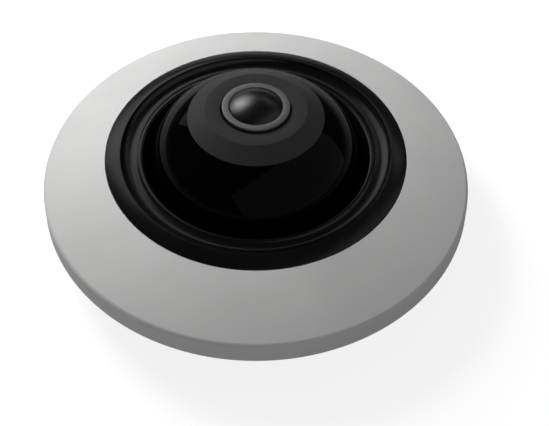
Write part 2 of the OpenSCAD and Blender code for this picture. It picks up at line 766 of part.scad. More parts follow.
module holder_screws() {
    color("darkgrey") for (i = [-1, 1]) translate([i * holder_screw_x, -holder_screw_y, 0])
        screw(holder_screw_r, holder_screw_head_r, holder_screw_head_h, sensor_board_z,
            sensor_board_top_z + flange_t);
}

// Day and night filter: sliding frame with two windows, driven by a lever on a magnet
glass_w = 5.4;
window_w = 4.6;
glass_t = 0.5;
tab_w = 4;
lever_t = 0.8;
lever_w = 2.2;
hub_r = 1.9;
magnet_r = 2;
magnet_h = 3.4;
magnet_lift = 0.7;
lever_rest = asin(filter_travel / 2 / lever_l);
filter_x = [0, -filter_travel];
module filter_frame() {
    slot_r = pin_r + pin_gap;
    color("black") difference() {
        union() {
            block(-filter_travel - frame_end, frame_end, -filter_half_w, filter_half_w,
                filter_z, filter_z + filter_t);
            block(-filter_travel / 2 - tab_w / 2, -filter_travel / 2 + tab_w / 2,
                0, tab_end_y, filter_z, filter_z + filter_t);
        }
        for (x = filter_x) {
            block_at(x, 0, window_w, window_w, filter_z - overrun, filter_z + filter_t);
            block_at(x, 0, glass_w + 2 * seat_gap, glass_w + 2 * seat_gap,
                filter_z + filter_t - glass_t, filter_z + filter_t + overrun);
        }
        for (y = [pivot_y - lever_l, pin_y]) translate([-filter_travel / 2, y, 0])
            hole(slot_r, filter_z, filter_z + filter_t);
        block(-filter_travel / 2 - slot_r, -filter_travel / 2 + slot_r, pivot_y - lever_l, pin_y,
            filter_z - overrun, filter_z + filter_t + overrun);
    }
}
module filter_glass(x) {
    block_at(x, 0, glass_w, glass_w, filter_z + filter_t - glass_t, filter_z + filter_t);
}
module ir_cut_filter() {
    color([0.55, 0.85, 0.85]) filter_glass(filter_x[0]);
}
module clear_filter() {
    color([0.9, 0.92, 0.95]) filter_glass(filter_x[1]);
}
module filter_lever() {
    color("silver") translate([0, pivot_y, 0]) rotate([0, 0, -lever_rest]) {
        rod(hub_r, lever_z, lever_z + lever_t);
        block(-lever_w / 2, lever_w / 2, -lever_l, 0, lever_z, lever_z + lever_t);
        translate([0, -lever_l, 0]) {
            rod(lever_w / 2, lever_z, lever_z + lever_t);
            rod(pin_r, filter_z + pin_gap, lever_z + lever_t);
        }
        rod(shaft_r, lever_z, holder_top_z + magnet_lift);
    }
}
module lever_magnet() {
    color("dimgrey") translate([0, pivot_y, 0])
        rod(magnet_r, holder_top_z + magnet_lift, holder_top_z + magnet_lift + magnet_h);
}
coil_w = 11;
coil_l = 6.8;
coil_h = 5;
magnet_gap = 0.4;
module filter_coil() {
    color("peru") difference() {
        block_at(0, pivot_y, coil_w, coil_l, holder_top_z, holder_top_z + coil_h);
        translate([0, pivot_y, 0])
            hole(magnet_r + magnet_gap, holder_top_z, holder_top_z + coil_h);
    }
}

// Image sensor and its board
sensor_w = 8;
sensor_l = 6.6;
sensor_t = 0.9;
sensor_glass_t = 0.4;
sensor_rim = 0.6;
sensor_board_w = 2 * (holder_x + sensor_board_margin);
board_screw_inset = 2.3;
board_screw_at = sensor_board_w / 2 - board_screw_inset;
board_screw_r = 0.95;
board_screw_head_r = 1.8;
board_screw_head_h = 1.1;
standoff_r = 2.3;
module image_sensor() {
    color([0.25, 0.22, 0.3])
        block_at(0, 0, sensor_w, sensor_l, sensor_board_top_z, sensor_board_top_z + sensor_t);
}
module sensor_glass() {
    color([0.6, 0.7, 0.75])
        block_at(0, 0, sensor_w - 2 * sensor_rim, sensor_l - 2 * sensor_rim,
            sensor_board_top_z + sensor_t, sensor_board_top_z + sensor_t + sensor_glass_t);
}
module sensor_board() {
    color("darkgreen") difference() {
        block_at(0, 0, sensor_board_w, sensor_board_w, sensor_board_z, sensor_board_top_z);
        corners(board_screw_at, board_screw_at)
            hole(board_screw_r + screw_way_gap, sensor_board_z, sensor_board_top_z);
        for (i = [-1, 1]) translate([i * holder_screw_x, -holder_screw_y, 0])
            hole(holder_screw_r + screw_way_gap, sensor_board_z, sensor_board_top_z);
    }
}
module sensor_board_screws() {
    color("silver") corners(board_screw_at, board_screw_at)
        screw(board_screw_r, board_screw_head_r, board_screw_head_h, sensor_board_top_z,
            sensor_board_z - standoff_h * thread_share);
}
module board_standoffs() {
    color("goldenrod") corners(board_screw_at, board_screw_at) difference() {
        translate([0, 0, main_board_top_z]) cylinder(r = standoff_r, h = standoff_h, $fn = 6);
        rod(board_screw_r + seat_gap, main_board_top_z + seat_gap, sensor_board_z + overrun);
    }
}

// Flat cable between the boards, with a connector on each
ribbon_w = 8;
ribbon_t = 0.3;
connector_t = 1.1;
connector_x = 11;
connector_l = 3;
ribbon_bend_x = 15.8;
module ribbon_connectors() {
    color("ivory") {
        block_at(-connector_x, 0, connector_l, ribbon_w + connector_t,
            sensor_board_z - connector_t, sensor_board_z);
        block_at(-connector_x, 0, connector_l, ribbon_w + connector_t,
            main_board_top_z, main_board_top_z + connector_t);
    }
}
module flat_cable() {
    low_z = main_board_top_z + connector_t / 2;
    high_z = sensor_board_z - connector_t / 2;
    bend_r = (high_z - low_z) / 2;
    reach = ribbon_bend_x - connector_x - connector_l / 2;
    color("sienna") translate([-ribbon_bend_x, ribbon_w / 2, low_z + bend_r]) rotate([90, 0, 0]) {
        rotate([0, 0, 90]) rotate_extrude(angle = 180)
            translate([bend_r - ribbon_t / 2, 0]) square([ribbon_t, ribbon_w]);
        for (y = [-bend_r, bend_r]) translate([0, y - ribbon_t / 2, 0])
            cube([reach, ribbon_t, ribbon_w]);
    }
}

// Main board and what it carries
board_edge_gap = 0.1;
main_board_edge_x = pocket_x - pocket_wall_t - board_edge_gap;
processor_w = 14;
processor_t = 1.2;
processor_x = -21;
processor_y = 12;
pad_t = 0.8;
spreader_w = 22;
spreader_l = 20;
fin_gap = 2;
fin_count = 4;
module main_board() {
    color("darkgreen") difference() {
        rod(main_board_r, main_board_z, main_board_top_z);
        block(main_board_edge_x, main_board_r + overrun, -main_board_r, main_board_r,
            main_board_z - overrun, main_board_top_z + overrun);
        around(post_angles, post_circle_r)
            hole(shell_screw_r + screw_way_gap, main_board_z, main_board_top_z);
        around(cover_screw_angles, cover_screw_circle_r)
            hole(cover_boss_r + board_edge_gap, main_board_z, main_board_top_z);
    }
}
module main_board_screws() {
    color("silver") around(post_angles, post_circle_r)
        screw(shell_screw_r, shell_screw_head_r, shell_screw_head_h, main_board_top_z,
            main_board_z - post_h * thread_share);
}
module main_processor() {
    color([0.15, 0.15, 0.15]) block_at(processor_x, processor_y, processor_w, processor_w,
        main_board_z - processor_t, main_board_z);
}
module thermal_pad() {
    color("lightpink") block_at(processor_x, processor_y, processor_w, processor_w,
        main_board_z - processor_t - pad_t, main_board_z - processor_t);
}
module heat_spreader() {
    top_z = main_board_z - processor_t - pad_t;
    pitch = spreader_w / fin_count;
    color("silver") difference() {
        block_at(processor_x, processor_y, spreader_w, spreader_l, floor_top_z, top_z);
        for (i = [1 : fin_count - 1])
            block_at(processor_x - spreader_w / 2 + i * pitch, processor_y, fin_gap,
                spreader_l + 2 * overrun, floor_top_z - overrun, (floor_top_z + top_z) / 2);
    }
}
chip_w = 9;
chip_l = 11;
chip_t = 1;
chip_x = -21;
chip_step = 11;
chip_y = -8;
module memory_chips() {
    color([0.15, 0.15, 0.15]) for (i = [0, 1])
        block_at(chip_x - (i - 0.5) * chip_step, chip_y, chip_w, chip_l,
            main_board_z - chip_t, main_board_z);
}
transformer_w = 12.5;
transformer_l = 9;
transformer_room = 0.9;
transformer_h = standoff_h - transformer_room;
transformer_x = 6;
module network_transformer() {
    color([0.2, 0.2, 0.2]) block_at(transformer_x, 0, transformer_w, transformer_l,
        main_board_top_z, main_board_top_z + transformer_h);
}
capacitor_r = 2.8;
capacitor_room = 0.7;
capacitor_h = standoff_h - capacitor_room;
capacitor_base_h = 0.8;
capacitor_x = 3.6;
capacitor_y = -12;
module capacitors() {
    color("silver") for (i = [-1, 1]) translate([i * capacitor_x, capacitor_y, 0]) {
        rod(capacitor_r, main_board_top_z, main_board_top_z + capacitor_h);
        block_at(0, 0, 2 * capacitor_r, 2 * capacitor_r, main_board_top_z,
            main_board_top_z + capacitor_base_h);
    }
}
inductor_w = 7;
inductor_h = 3.2;
inductor_x = 5;
inductor_y = 22;
inductor_step = 10;
inductor_corner_share = 0.62;
module power_inductors() {
    color([0.3, 0.3, 0.32]) for (i = [0, 1])
        translate([inductor_x - i * inductor_step, inductor_y, 0]) intersection() {
            block_at(0, 0, inductor_w, inductor_w, main_board_z - inductor_h, main_board_z);
            rod(inductor_w * inductor_corner_share, main_board_z - inductor_h, main_board_z);
        }
}
header_w = 20;
header_l = 7;
header_h = 4.6;
header_wall_t = 0.8;
header_y = -24;
header_pins = 8;
pin_w = 0.6;
module cable_header() {
    z = main_board_z - header_h;
    pitch = (header_w - 2 * header_wall_t) / header_pins;
    color("ivory") {
        difference() {
            block_at(0, header_y, header_w, header_l, z, main_board_z);
            block(-header_w / 2 + header_wall_t, header_w / 2 - header_wall_t,
                header_y - header_l / 2 - overrun, header_y + header_l / 2 - header_wall_t,
                z + header_wall_t, main_board_z - header_wall_t);
        }
        for (i = [0 : header_pins - 1])
            block((i + 0.5) * pitch - header_w / 2 + header_wall_t - pin_w / 2,
                (i + 0.5) * pitch - header_w / 2 + header_wall_t + pin_w / 2,
                header_y - header_l / 4, header_y + header_l / 2 - header_wall_t / 2,
                z + header_h / 2 - pin_w / 2, z + header_h / 2 + pin_w / 2);
    }
}

// Memory card and its socket
card_out = 1.5;
socket_back = 1.2;
socket_wall_t = 0.35;
card_end_x = pocket_x + card_out;
socket_gap = 0.08;
module card_socket() {
    x0 = card_end_x - card_l - socket_back;
    x1 = main_board_edge_x - board_edge_gap;
    half = card_w / 2 + socket_gap;
    low_z = card_z - socket_gap;
    color("silver") difference() {
        block(x0 - socket_wall_t, x1, card_y - half - socket_wall_t, card_y + half + socket_wall_t,
            low_z - socket_wall_t, main_board_z);
        block(x0, x1 + overrun, card_y - half, card_y + half, low_z, card_z + card_t + socket_gap);
    }
}
card_notch = 1.2;
thumb_ridge_t = 0.12;
module memory_card() {
    color([0.1, 0.1, 0.12]) translate([card_end_x, card_y, card_z]) difference() {
        linear_extrude(card_t) polygon([
            [0, -card_w / 2], [0, card_w / 2], [-card_l, card_w / 2],
            [-card_l, -card_w / 2 + 2 * card_notch],
            [-card_l / 2, -card_w / 2 + card_notch], [-card_l / 2, -card_w / 2]]);
        for (i = [1 : 3]) block(-i * card_out / 4 - thumb_ridge_t, -i * card_out / 4,
            -card_w / 3, card_w / 3, -overrun, thumb_ridge_t);
    }
}

// Reset switch under the main board and the button in the pocket's wall
switch_w = 3.6;
switch_gap = 0.1;
nub_l = 0.4;
nub_r = 0.8;
button_flange_t = 0.4;
button_flange_r = button_r * 1.5;
button_out = 0.6;
button_back_x = pocket_x - pocket_wall_t - switch_gap - button_flange_t;
switch_face_x = button_back_x - button_travel - switch_gap - nub_l;
module reset_switch() {
    color([0.15, 0.15, 0.15])
        block(switch_face_x - switch_w, switch_face_x, button_y - switch_w / 2, button_y + switch_w / 2,
            button_z - switch_w / 2, main_board_z);
    color([0.15, 0.15, 0.15]) translate([switch_face_x, button_y, button_z]) rotate([0, 90, 0])
        rod(nub_r, -nub_l, nub_l);
}
module reset_button() {
    color("white") translate([button_back_x, button_y, button_z]) rotate([0, 90, 0]) {
        rod(button_flange_r, 0, button_flange_t);
        rod(button_r, 0, pocket_x + button_out - button_back_x);
    }
}

mounting_plate();
back_shell();
service_pocket();
label_plate();
cable_bush();
cover_screws();
front_cover();
centre_ring();
dome_gasket();
dome_shell();
dome_screws();
lens_ring();
front_lens();
lens_barrel();
lens_spacer();
second_lens();
rear_lens();
lens_retainer();
lens_seal();
lens_lock_nut();
lens_holder();
holder_screws();
filter_frame();
ir_cut_filter();
clear_filter();
filter_lever();
lever_magnet();
filter_coil();
image_sensor();
sensor_glass();
sensor_board();
sensor_board_screws();
board_standoffs();
ribbon_connectors();
flat_cable();
main_board();
main_board_screws();
main_processor();
thermal_pad();
heat_spreader();
memory_chips();
network_transformer();
capacitors();
power_inductors();
cable_header();
card_socket();
memory_card();
reset_switch();
reset_button();
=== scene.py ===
from math import acos, cos, hypot, pi, radians, sin

import bmesh
import bpy
from mathutils import Matrix, Vector


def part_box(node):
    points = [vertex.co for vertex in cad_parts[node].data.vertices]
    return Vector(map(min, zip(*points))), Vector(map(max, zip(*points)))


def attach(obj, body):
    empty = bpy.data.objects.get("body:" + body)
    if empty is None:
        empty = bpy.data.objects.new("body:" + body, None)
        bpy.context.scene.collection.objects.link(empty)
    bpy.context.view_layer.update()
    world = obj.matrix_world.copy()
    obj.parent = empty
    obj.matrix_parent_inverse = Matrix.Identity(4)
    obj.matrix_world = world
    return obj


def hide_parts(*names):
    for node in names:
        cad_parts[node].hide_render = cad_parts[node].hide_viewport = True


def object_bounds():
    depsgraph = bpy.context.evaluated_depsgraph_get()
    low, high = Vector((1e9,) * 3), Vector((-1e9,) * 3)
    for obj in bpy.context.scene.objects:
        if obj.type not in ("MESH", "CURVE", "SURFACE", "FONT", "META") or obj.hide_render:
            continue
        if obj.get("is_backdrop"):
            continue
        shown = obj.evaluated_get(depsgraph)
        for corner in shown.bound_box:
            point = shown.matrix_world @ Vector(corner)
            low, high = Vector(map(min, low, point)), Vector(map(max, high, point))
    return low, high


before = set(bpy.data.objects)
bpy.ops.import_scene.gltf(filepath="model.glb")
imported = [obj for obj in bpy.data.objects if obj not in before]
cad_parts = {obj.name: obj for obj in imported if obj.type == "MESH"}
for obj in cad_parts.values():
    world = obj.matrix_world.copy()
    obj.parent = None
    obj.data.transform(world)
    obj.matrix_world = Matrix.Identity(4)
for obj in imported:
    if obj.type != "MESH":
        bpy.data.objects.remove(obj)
cad_low, cad_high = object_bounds()

# Mounting plate: the ribbed disc that stays on the ceiling while the camera twists off it.
# Injection-moulded white ABS with three sunk wells for its screws and three slots for the hooks.
MM = 0.001


def linear(hex_colour):
    """Linear colour of an sRGB hex value."""
    parts = [int(hex_colour[i:i + 2], 16) / 255 for i in (1, 3, 5)]
    return [p / 12.92 if p <= 0.04045 else ((p + 0.055) / 1.055) ** 2.4 for p in parts] + [1.0]


def start_material(name, plain):
    """New material, its tree and its shader, with what is the same all over set on the shader."""
    material = bpy.data.materials.new(name)
    material.use_nodes = True
    shader = material.node_tree.nodes["Principled BSDF"]
    for socket, value in plain.items():
        shader.inputs[socket].default_value = value
    return material, material.node_tree, shader


def add(tree, kind, inputs, **settings):
    """One node with its settings. An input is a value or another node's output."""
    made = tree.nodes.new(kind)
    for name, value in settings.items():
        setattr(made, name, value)
    for socket, value in inputs.items():
        if isinstance(value, bpy.types.NodeSocket):
            tree.links.new(value, made.inputs[socket])
        else:
            made.inputs[socket].default_value = value
    return made


# Moulded plastic: spark erosion leaves the mould, and so the part, an even grain of about 0.05 mm.
# It is drawn at grain mm so that it shows, with flow clouds some 18 mm wide that shift the shine
# and the tone a little. Polished faces turn hazy at a glancing angle, by up to glance.
noise_low, noise_high = 0.3, 0.7  # Noise textures keep mostly between these.
cloud_w = 18
haze_from, haze_full = 0.72, 0.92


def moulded_plastic(name, colour, roughness, grain=0.3, relief=0.004, clouds=0.05, specular=0.5,
        glance=0.0):
    material, tree, shader = start_material(name, {"IOR": 1.53, "Specular IOR Level": specular})
    place = add(tree, "ShaderNodeTexCoord", {}).outputs["Object"]
    erosion = add(tree, "ShaderNodeTexNoise", {
        "Vector": place, "Scale": 1 / (grain * MM), "Detail": 3})
    relief_bump = add(tree, "ShaderNodeBump", {
        "Distance": relief * MM, "Height": erosion.outputs["Fac"]})
    tree.links.new(relief_bump.outputs["Normal"], shader.inputs["Normal"])
    flow = add(tree, "ShaderNodeTexNoise", {
        "Vector": place, "Scale": 1 / (cloud_w * MM), "Detail": 2})
    shine = add(tree, "ShaderNodeMapRange", {
        "Value": flow.outputs["Fac"], "From Min": noise_low, "From Max": noise_high,
        "To Min": roughness - clouds, "To Max": roughness + clouds})
    rough = shine.outputs["Result"]
    if glance:
        facing = add(tree, "ShaderNodeLayerWeight", {"Blend": 0.5}).outputs["Facing"]
        haze = add(tree, "ShaderNodeMapRange", {
            "Value": facing, "From Min": haze_from, "From Max": haze_full,
            "To Min": 0.0, "To Max": glance})
        rough = add(tree, "ShaderNodeMath", {0: rough, 1: haze.outputs["Result"]}).outputs[0]
    tree.links.new(rough, shader.inputs["Roughness"])
    pigment = add(tree, "ShaderNodeValToRGB", {"Fac": flow.outputs["Fac"]})
    tones = zip(pigment.color_ramp.elements, (noise_low, noise_high), (0.97, 1.02))
    for stop, position, share in tones:
        stop.position = position
        stop.color = [share * part for part in linear(colour)[:3]] + [1.0]
    tree.links.new(pigment.outputs["Color"], shader.inputs["Base Color"])
    return material


def as_object(bm, name):
    """Object at the origin from a bmesh, smooth-shaded."""
    mesh = bpy.data.meshes.new(name)
    for face in bm.faces:
        face.smooth = True
    bm.to_mesh(mesh)
    bm.free()
    piece = bpy.data.objects.new(name, mesh)
    bpy.context.scene.collection.objects.link(piece)
    return piece


def merged_copy(node, merge=0.002):
    """Bmesh of a CAD node, its loose triangles joined at the corners."""
    bm = bmesh.new()
    bm.from_mesh(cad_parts[node].data)
    bmesh.ops.remove_doubles(bm, verts=bm.verts, dist=merge * MM)
    return bm


def join_flats(bm, angle=0.5, **limits):
    """Makes one face of neighbours that lie within angle degrees of each other."""
    bmesh.ops.dissolve_limit(
        bm, verts=bm.verts, edges=bm.edges, angle_limit=radians(angle), **limits)


def softened_copy(node, edge, angle=30):
    """Copy of a CAD node, smooth on its curves, its edges over angle degrees rounded by edge mm."""
    bm = merged_copy(node)
    join_flats(bm)
    piece = as_object(bm, node + "_finished")
    rounding = piece.modifiers.new("Moulded edges", "BEVEL")
    rounding.width = edge * MM
    rounding.segments = 2
    rounding.limit_method = "ANGLE"
    rounding.angle_limit = radians(angle)
    shading = piece.modifiers.new("Flat faces stay flat", "WEIGHTED_NORMAL")
    shading.weight = 100
    return piece


def fit(piece, body, slot, material, *nodes):
    """Gives a piece its material and body, and hides the CAD nodes that it stands for. The slot is
    not used.
    """
    piece.data.materials.append(material)
    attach(piece, body)
    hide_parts(*nodes)


plate_abs = moulded_plastic("Moulded white ABS, plate", "#D8D8D4", 0.5)
fit(softened_copy("mounting_plate", edge=0.15), "plate", "plate_plastic", plate_abs,
    "mounting_plate")

# Back shell and service pocket: the dish that carries the boards, its hooks, and the tub welded in
# for card and button. Injection-moulded ABS in the cover's colour, a little duller.
shell_abs = moulded_plastic("Moulded white ABS, shell", "#D4D4D2", 0.48)
fit(softened_copy("back_shell", edge=0.15), "camera", "shell_plastic", shell_abs, "back_shell")
fit(softened_copy("service_pocket", edge=0.15), "camera", "shell_plastic", shell_abs,
    "service_pocket")


# Front cover: conical face with a thin rounded rim, the pale part of the camera that shows most.
# Injection-moulded ABS with a fine satin grain, screwed from behind through three bosses.
def turned(outline, steps=192):
    """Closed outline of (radius, height) points in mm, spun once round the camera's axis."""
    bm = bmesh.new()
    points = [bm.verts.new((r * MM, 0, z * MM)) for r, z in outline]
    edges = [bm.edges.new((points[i - 1], points[i])) for i in range(len(points))]
    bmesh.ops.spin(bm, geom=points + edges, cent=(0, 0, 0), axis=(0, 0, 1), angle=2 * pi,
        steps=steps, use_merge=True)
    seam = 0.0005
    bmesh.ops.remove_doubles(bm, verts=bm.verts, dist=seam * MM)
    bmesh.ops.recalc_face_normals(bm, faces=bm.faces)
    return bm


NEAR = 0.01  # Places nearer to each other than this, in mm, are taken for the same.


def round_off(bm, edges, width, segments):
    """Rounds edges by width mm to each side. One segment cuts them off flat."""
    bmesh.ops.bevel(bm, geom=edges, offset=width * MM, offset_type="OFFSET",
        segments=segments, profile=0.5, affect="EDGES", material=-1, clamp_overlap=True)


def round_ring(bm, r, z, width, segments=4):
    """Rounds the ring of edges at radius r and height z."""
    ring = [e for e in bm.edges if all(
        abs(hypot(v.co.x, v.co.y) - r * MM) < NEAR * MM and abs(v.co.z - z * MM) < NEAR * MM
        for v in e.verts)]
    round_off(bm, ring, width, segments)


rim_z = 10.3
rim_top_z = 16.2
edge_z = 22.75
rim_r = 60
rim_top_r = 59.5
hole_r = 41.7
wall = 2
step_r = 38.3
step_z = 21.35
step_under_z = 20.05
slope = (edge_z - rim_top_z) / (rim_top_r - hole_r)
under = wall * (1 + slope * slope) ** 0.5
cover = turned([
    (rim_r - wall, rim_z), (rim_r, rim_z), (rim_top_r, rim_top_z), (hole_r, edge_z),
    (hole_r, step_z), (step_r, step_z), (step_r, step_under_z),
    (rim_top_r - (step_under_z + under - rim_top_z) / slope, step_under_z),
    (rim_r - wall, rim_top_z - under + slope * (rim_top_r - rim_r + wall))])
round_ring(cover, rim_top_r, rim_top_z, width=0.95, segments=8)
round_ring(cover, rim_r, rim_z, width=0.25)
round_ring(cover, hole_r, edge_z, width=0.12)
cover_abs = moulded_plastic("Satin white ABS, cover", "#D4D4D3", 0.42)
fit(as_object(cover, "cover_face"), "camera", "cover_plastic", cover_abs, "front_cover")


# Centre ring: black moulded ring let into the cover, with a sloping ledge and a smooth trough.
# Semi-gloss black ABS; four screws from below clamp the dome to it.
def bow(start, end, sag, steps=24):
    """Points on the arc from start to end that hangs sag mm below its chord."""
    a, b = Vector(start), Vector(end)
    half = (b - a).length / 2
    radius = (half * half + sag * sag) / (2 * sag)
    along = (b - a).normalized()
    across = Vector((-along.y, along.x))
    if across.y < 0:
        across = -across
    centre = (a + b) / 2 + across * (radius - sag)
    reach = acos((radius - sag) / radius)
    points = []
    for i in range(steps + 1):
        turn = reach * (2 * i / steps - 1)
        points.append(tuple(centre - across * radius * cos(turn) + along * radius * sin(turn)))
    return points


ring_r = 41.55
crest_r = 37.9
crest_z = 24.0
inner_crest_r = 32
inner_crest_z = 22.7
crest_land = 0.45
throat_r = 30.2
flare = 0.6
ring_foot_z = 17.25
skirt_r = 38.0
ring_wall = 1.5
trough = 1.2
trough_z = (crest_z + inner_crest_z) / 2 - trough
ring = turned(
    [(ring_r, step_z), (ring_r, edge_z), (crest_r, crest_z)]
    + bow((crest_r - crest_land, crest_z), (inner_crest_r + crest_land, inner_crest_z), trough)
    + [(inner_crest_r - crest_land, inner_crest_z), (throat_r + flare, inner_crest_z - 2 * flare),
        (throat_r, (ring_foot_z + edge_z) / 2), (throat_r, ring_foot_z),
        (throat_r + ring_wall, ring_foot_z), (throat_r + ring_wall, trough_z - ring_wall),
        (skirt_r - ring_wall, trough_z - ring_wall), (skirt_r - ring_wall, ring_foot_z),
        (skirt_r, ring_foot_z), (skirt_r, step_z)])
round_ring(ring, ring_r, edge_z, width=0.1)
round_ring(ring, crest_r, crest_z, width=0.5)
round_ring(ring, inner_crest_r - crest_land, inner_crest_z, width=0.5)
ring_abs = moulded_plastic(
    "Semi-gloss black ABS, centre ring", "#090909", 0.22, relief=0.002, specular=0.4)
fit(as_object(ring, "centre_ring_turned"), "camera", "black_satin_plastic", ring_abs, "centre_ring")

# Dome: gloss-black arch on an elliptical curve, with a satin chamfer and a flat top round the lens.
# Moulded black polycarbonate, polished on the arch; its flange is clamped under the centre ring.
dome_r = 28.7
dome_spring_z = 20.5
dome_flange_z = 15.25
dome_flange_top_z = 16.75
chamfer_r = 18.3
chamfer_z = 35.4
dome_top_r = 13.65
dome_top_z = 38.1
lens_hole_r = 9.45
dome_wall = 1.8
dome_top_t = 1.6


def arch(radius, end_r, end_z, steps=48):
    """Quarter-ellipse points from the spring line up to the chamfer."""
    turn = acos(end_r / radius)
    height = (end_z - dome_spring_z) / sin(turn)
    return [(radius * cos(turn * i / steps), dome_spring_z + height * sin(turn * i / steps))
        for i in range(steps + 1)]


dome = turned(
    [(skirt_r, dome_flange_z), (skirt_r, dome_flange_top_z), (dome_r, dome_flange_top_z)]
    + arch(dome_r, chamfer_r, chamfer_z)
    + [(dome_top_r, dome_top_z), (lens_hole_r, dome_top_z), (lens_hole_r, dome_top_z - dome_top_t),
        (dome_top_r - dome_top_t / 2, dome_top_z - dome_top_t)]
    + arch(dome_r - dome_wall, chamfer_r - dome_wall / 2, chamfer_z - dome_wall / 2)[::-1]
    + [(dome_r - dome_wall, dome_flange_z)])
round_ring(dome, chamfer_r, chamfer_z, width=0.12, segments=3)
round_ring(dome, dome_top_r, dome_top_z, width=0.15, segments=3)
round_ring(dome, lens_hole_r, dome_top_z, width=0.12, segments=3)
dome_gloss = moulded_plastic("Polished black polycarbonate", "#030303", 0.06,
    grain=2, relief=0.0005, clouds=0.02, specular=0.06, glance=0.4)
dome_satin = moulded_plastic("Satin black polycarbonate", "#343434", 0.42, specular=0.12)
dome_piece = as_object(dome, "dome_turned")
fit(dome_piece, "camera", "black_gloss_plastic", dome_gloss, "dome_shell")


def second_finish(piece, material, chosen):
    """Gives a second material to the faces whose centre, in mm, and normal are chosen."""
    piece.data.materials.append(material)
    for face in piece.data.polygons:
        face.material_index = int(chosen(face.center / MM, face.normal))


second_finish(dome_piece, dome_satin,
    lambda at, normal: at.z > chamfer_z - NEAR and hypot(at.x, at.y) < chamfer_r)

# Lens ring: thin turned ring round the glass, pressed over the barrel's head.
# Aluminium, turned and grey anodised, so it is satin with a faint lathe grain round it.
ring_out_r = 9.05
ring_in_r = 7.15
barrel_head_r = 8.35
ring_top_z = 38.95
ring_low_z = 36.9
ring_lip_z = 38.2
lens_ring = turned([
    (barrel_head_r, ring_low_z), (ring_out_r, ring_low_z), (ring_out_r, ring_top_z),
    (ring_in_r, ring_top_z), (ring_in_r, ring_lip_z), (barrel_head_r, ring_lip_z)])
round_ring(lens_ring, ring_out_r, ring_top_z, width=0.15)
round_ring(lens_ring, ring_in_r, ring_top_z, width=0.15)


# Anodised aluminium: the lathe's feed marks run round the part under the dyed layer. They are some
# 0.1 mm apart in truth, and are drawn at pitch mm so that they show. Faint stains, some 1.5 mm
# wide, shift the shine.
wave = pi / 10  # From line to line of a Wave texture whose Scale is 1.
stain_w = 1.5


def turned_aluminium(name, colour, roughness, pitch=0.6, relief=0.002, stains=0.06):
    material, tree, shader = start_material(name, {"Base Color": linear(colour), "Metallic": 1.0})
    place = add(tree, "ShaderNodeTexCoord", {}).outputs["Object"]
    feed = add(tree, "ShaderNodeTexWave", {
        "Vector": place, "Scale": wave / (pitch * MM), "Distortion": 0.6, "Detail": 1},
        wave_type="RINGS", rings_direction="Z")
    bump = add(tree, "ShaderNodeBump", {"Distance": relief * MM, "Height": feed.outputs["Fac"]})
    tree.links.new(bump.outputs["Normal"], shader.inputs["Normal"])
    stain = add(tree, "ShaderNodeTexNoise", {
        "Vector": place, "Scale": 1 / (stain_w * MM), "Detail": 3})
    shine = add(tree, "ShaderNodeMapRange", {
        "Value": stain.outputs["Fac"], "To Min": roughness - stains, "To Max": roughness + stains})
    tree.links.new(shine.outputs["Result"], shader.inputs["Roughness"])
    return material


grey_anodised = turned_aluminium("Grey anodised aluminium", "#969696", 0.42)
fit(as_object(lens_ring, "lens_ring_turned"), "camera", "ring_aluminium", grey_anodised,
    "lens_ring")

# Front lens: the bulging outer glass of the fisheye, hollow behind, coated against reflections.
# Ground and polished crown glass, seated in the barrel under the metal ring.
glass_r = 7.1
glass_edge_r = 7.3
glass_seat_z = 36.55
glass_foot_z = 38.8
bulge = 2.45
hollow_r = 5.54
hollow_h = 2.77


def cap(radius, foot_z, height, steps=24):
    """Points on a spherical cap from its foot up to its crown."""
    ball = (radius * radius + height * height) / (2 * height)
    reach = acos((ball - height) / ball)
    turns = [reach * (1 - i / steps) for i in range(steps + 1)]
    return [(ball * sin(turn), foot_z + height - ball * (1 - cos(turn))) for turn in turns]


glass = turned(
    cap(glass_r, glass_foot_z, bulge) + cap(hollow_r, glass_seat_z, hollow_h)[::-1]
    + [(glass_edge_r, glass_seat_z), (glass_edge_r, ring_lip_z), (glass_r, ring_lip_z)])


# Optical glass: its coating takes most of the mirror shine off and gives the rest a tint. A faint
# haze, some 3 mm across, shifts the roughness by a few parts in a hundred.
haze_w = 3
haze_share = 0.06


def optical_glass(name, colour, ior, roughness=0.03, specular=0.5, tint="#FFFFFF"):
    material, tree, shader = start_material(name, {
        "Base Color": linear(colour), "IOR": ior, "Transmission Weight": 1.0,
        "Specular IOR Level": specular, "Specular Tint": linear(tint)})
    place = add(tree, "ShaderNodeTexCoord", {}).outputs["Object"]
    haze = add(tree, "ShaderNodeTexNoise", {
        "Vector": place, "Scale": 1 / (haze_w * MM), "Detail": 1})
    spread = add(tree, "ShaderNodeMapRange", {
        "Value": haze.outputs["Fac"], "To Min": roughness * (1 - haze_share),
        "To Max": roughness * (1 + haze_share)})
    tree.links.new(spread.outputs["Result"], shader.inputs["Roughness"])
    return material


# Its dark grey base colour is painted shade: the glass is clear, and the tint darkens the view into
# the lens.
coated_crown_painted_dark = optical_glass("Coated crown glass", "#3C3E40", 1.52, roughness=0.28, specular=0.35)
front_glass = as_object(glass, "front_glass")
fit(front_glass, "camera", "lens_glass", coated_crown_painted_dark, "front_lens")
edge_ink = moulded_plastic("Black ink on the ground edge", "#0A0A0A", 0.8, grain=0.2, relief=0.01)
ink_r = glass_r - 0.04
second_finish(front_glass, edge_ink,
    lambda at, normal: hypot(at.x, at.y) > ink_r or at.z < glass_seat_z + NEAR)

# Label plate: blank rating label let into the shell's floor, seen once the camera is off its plate.
# Punched aluminium foil with rounded corners, brushed along its length and glued down.
def span(node):
    """Low and high corner of a CAD node, in mm."""
    return [Vector(corner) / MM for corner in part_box(node)]


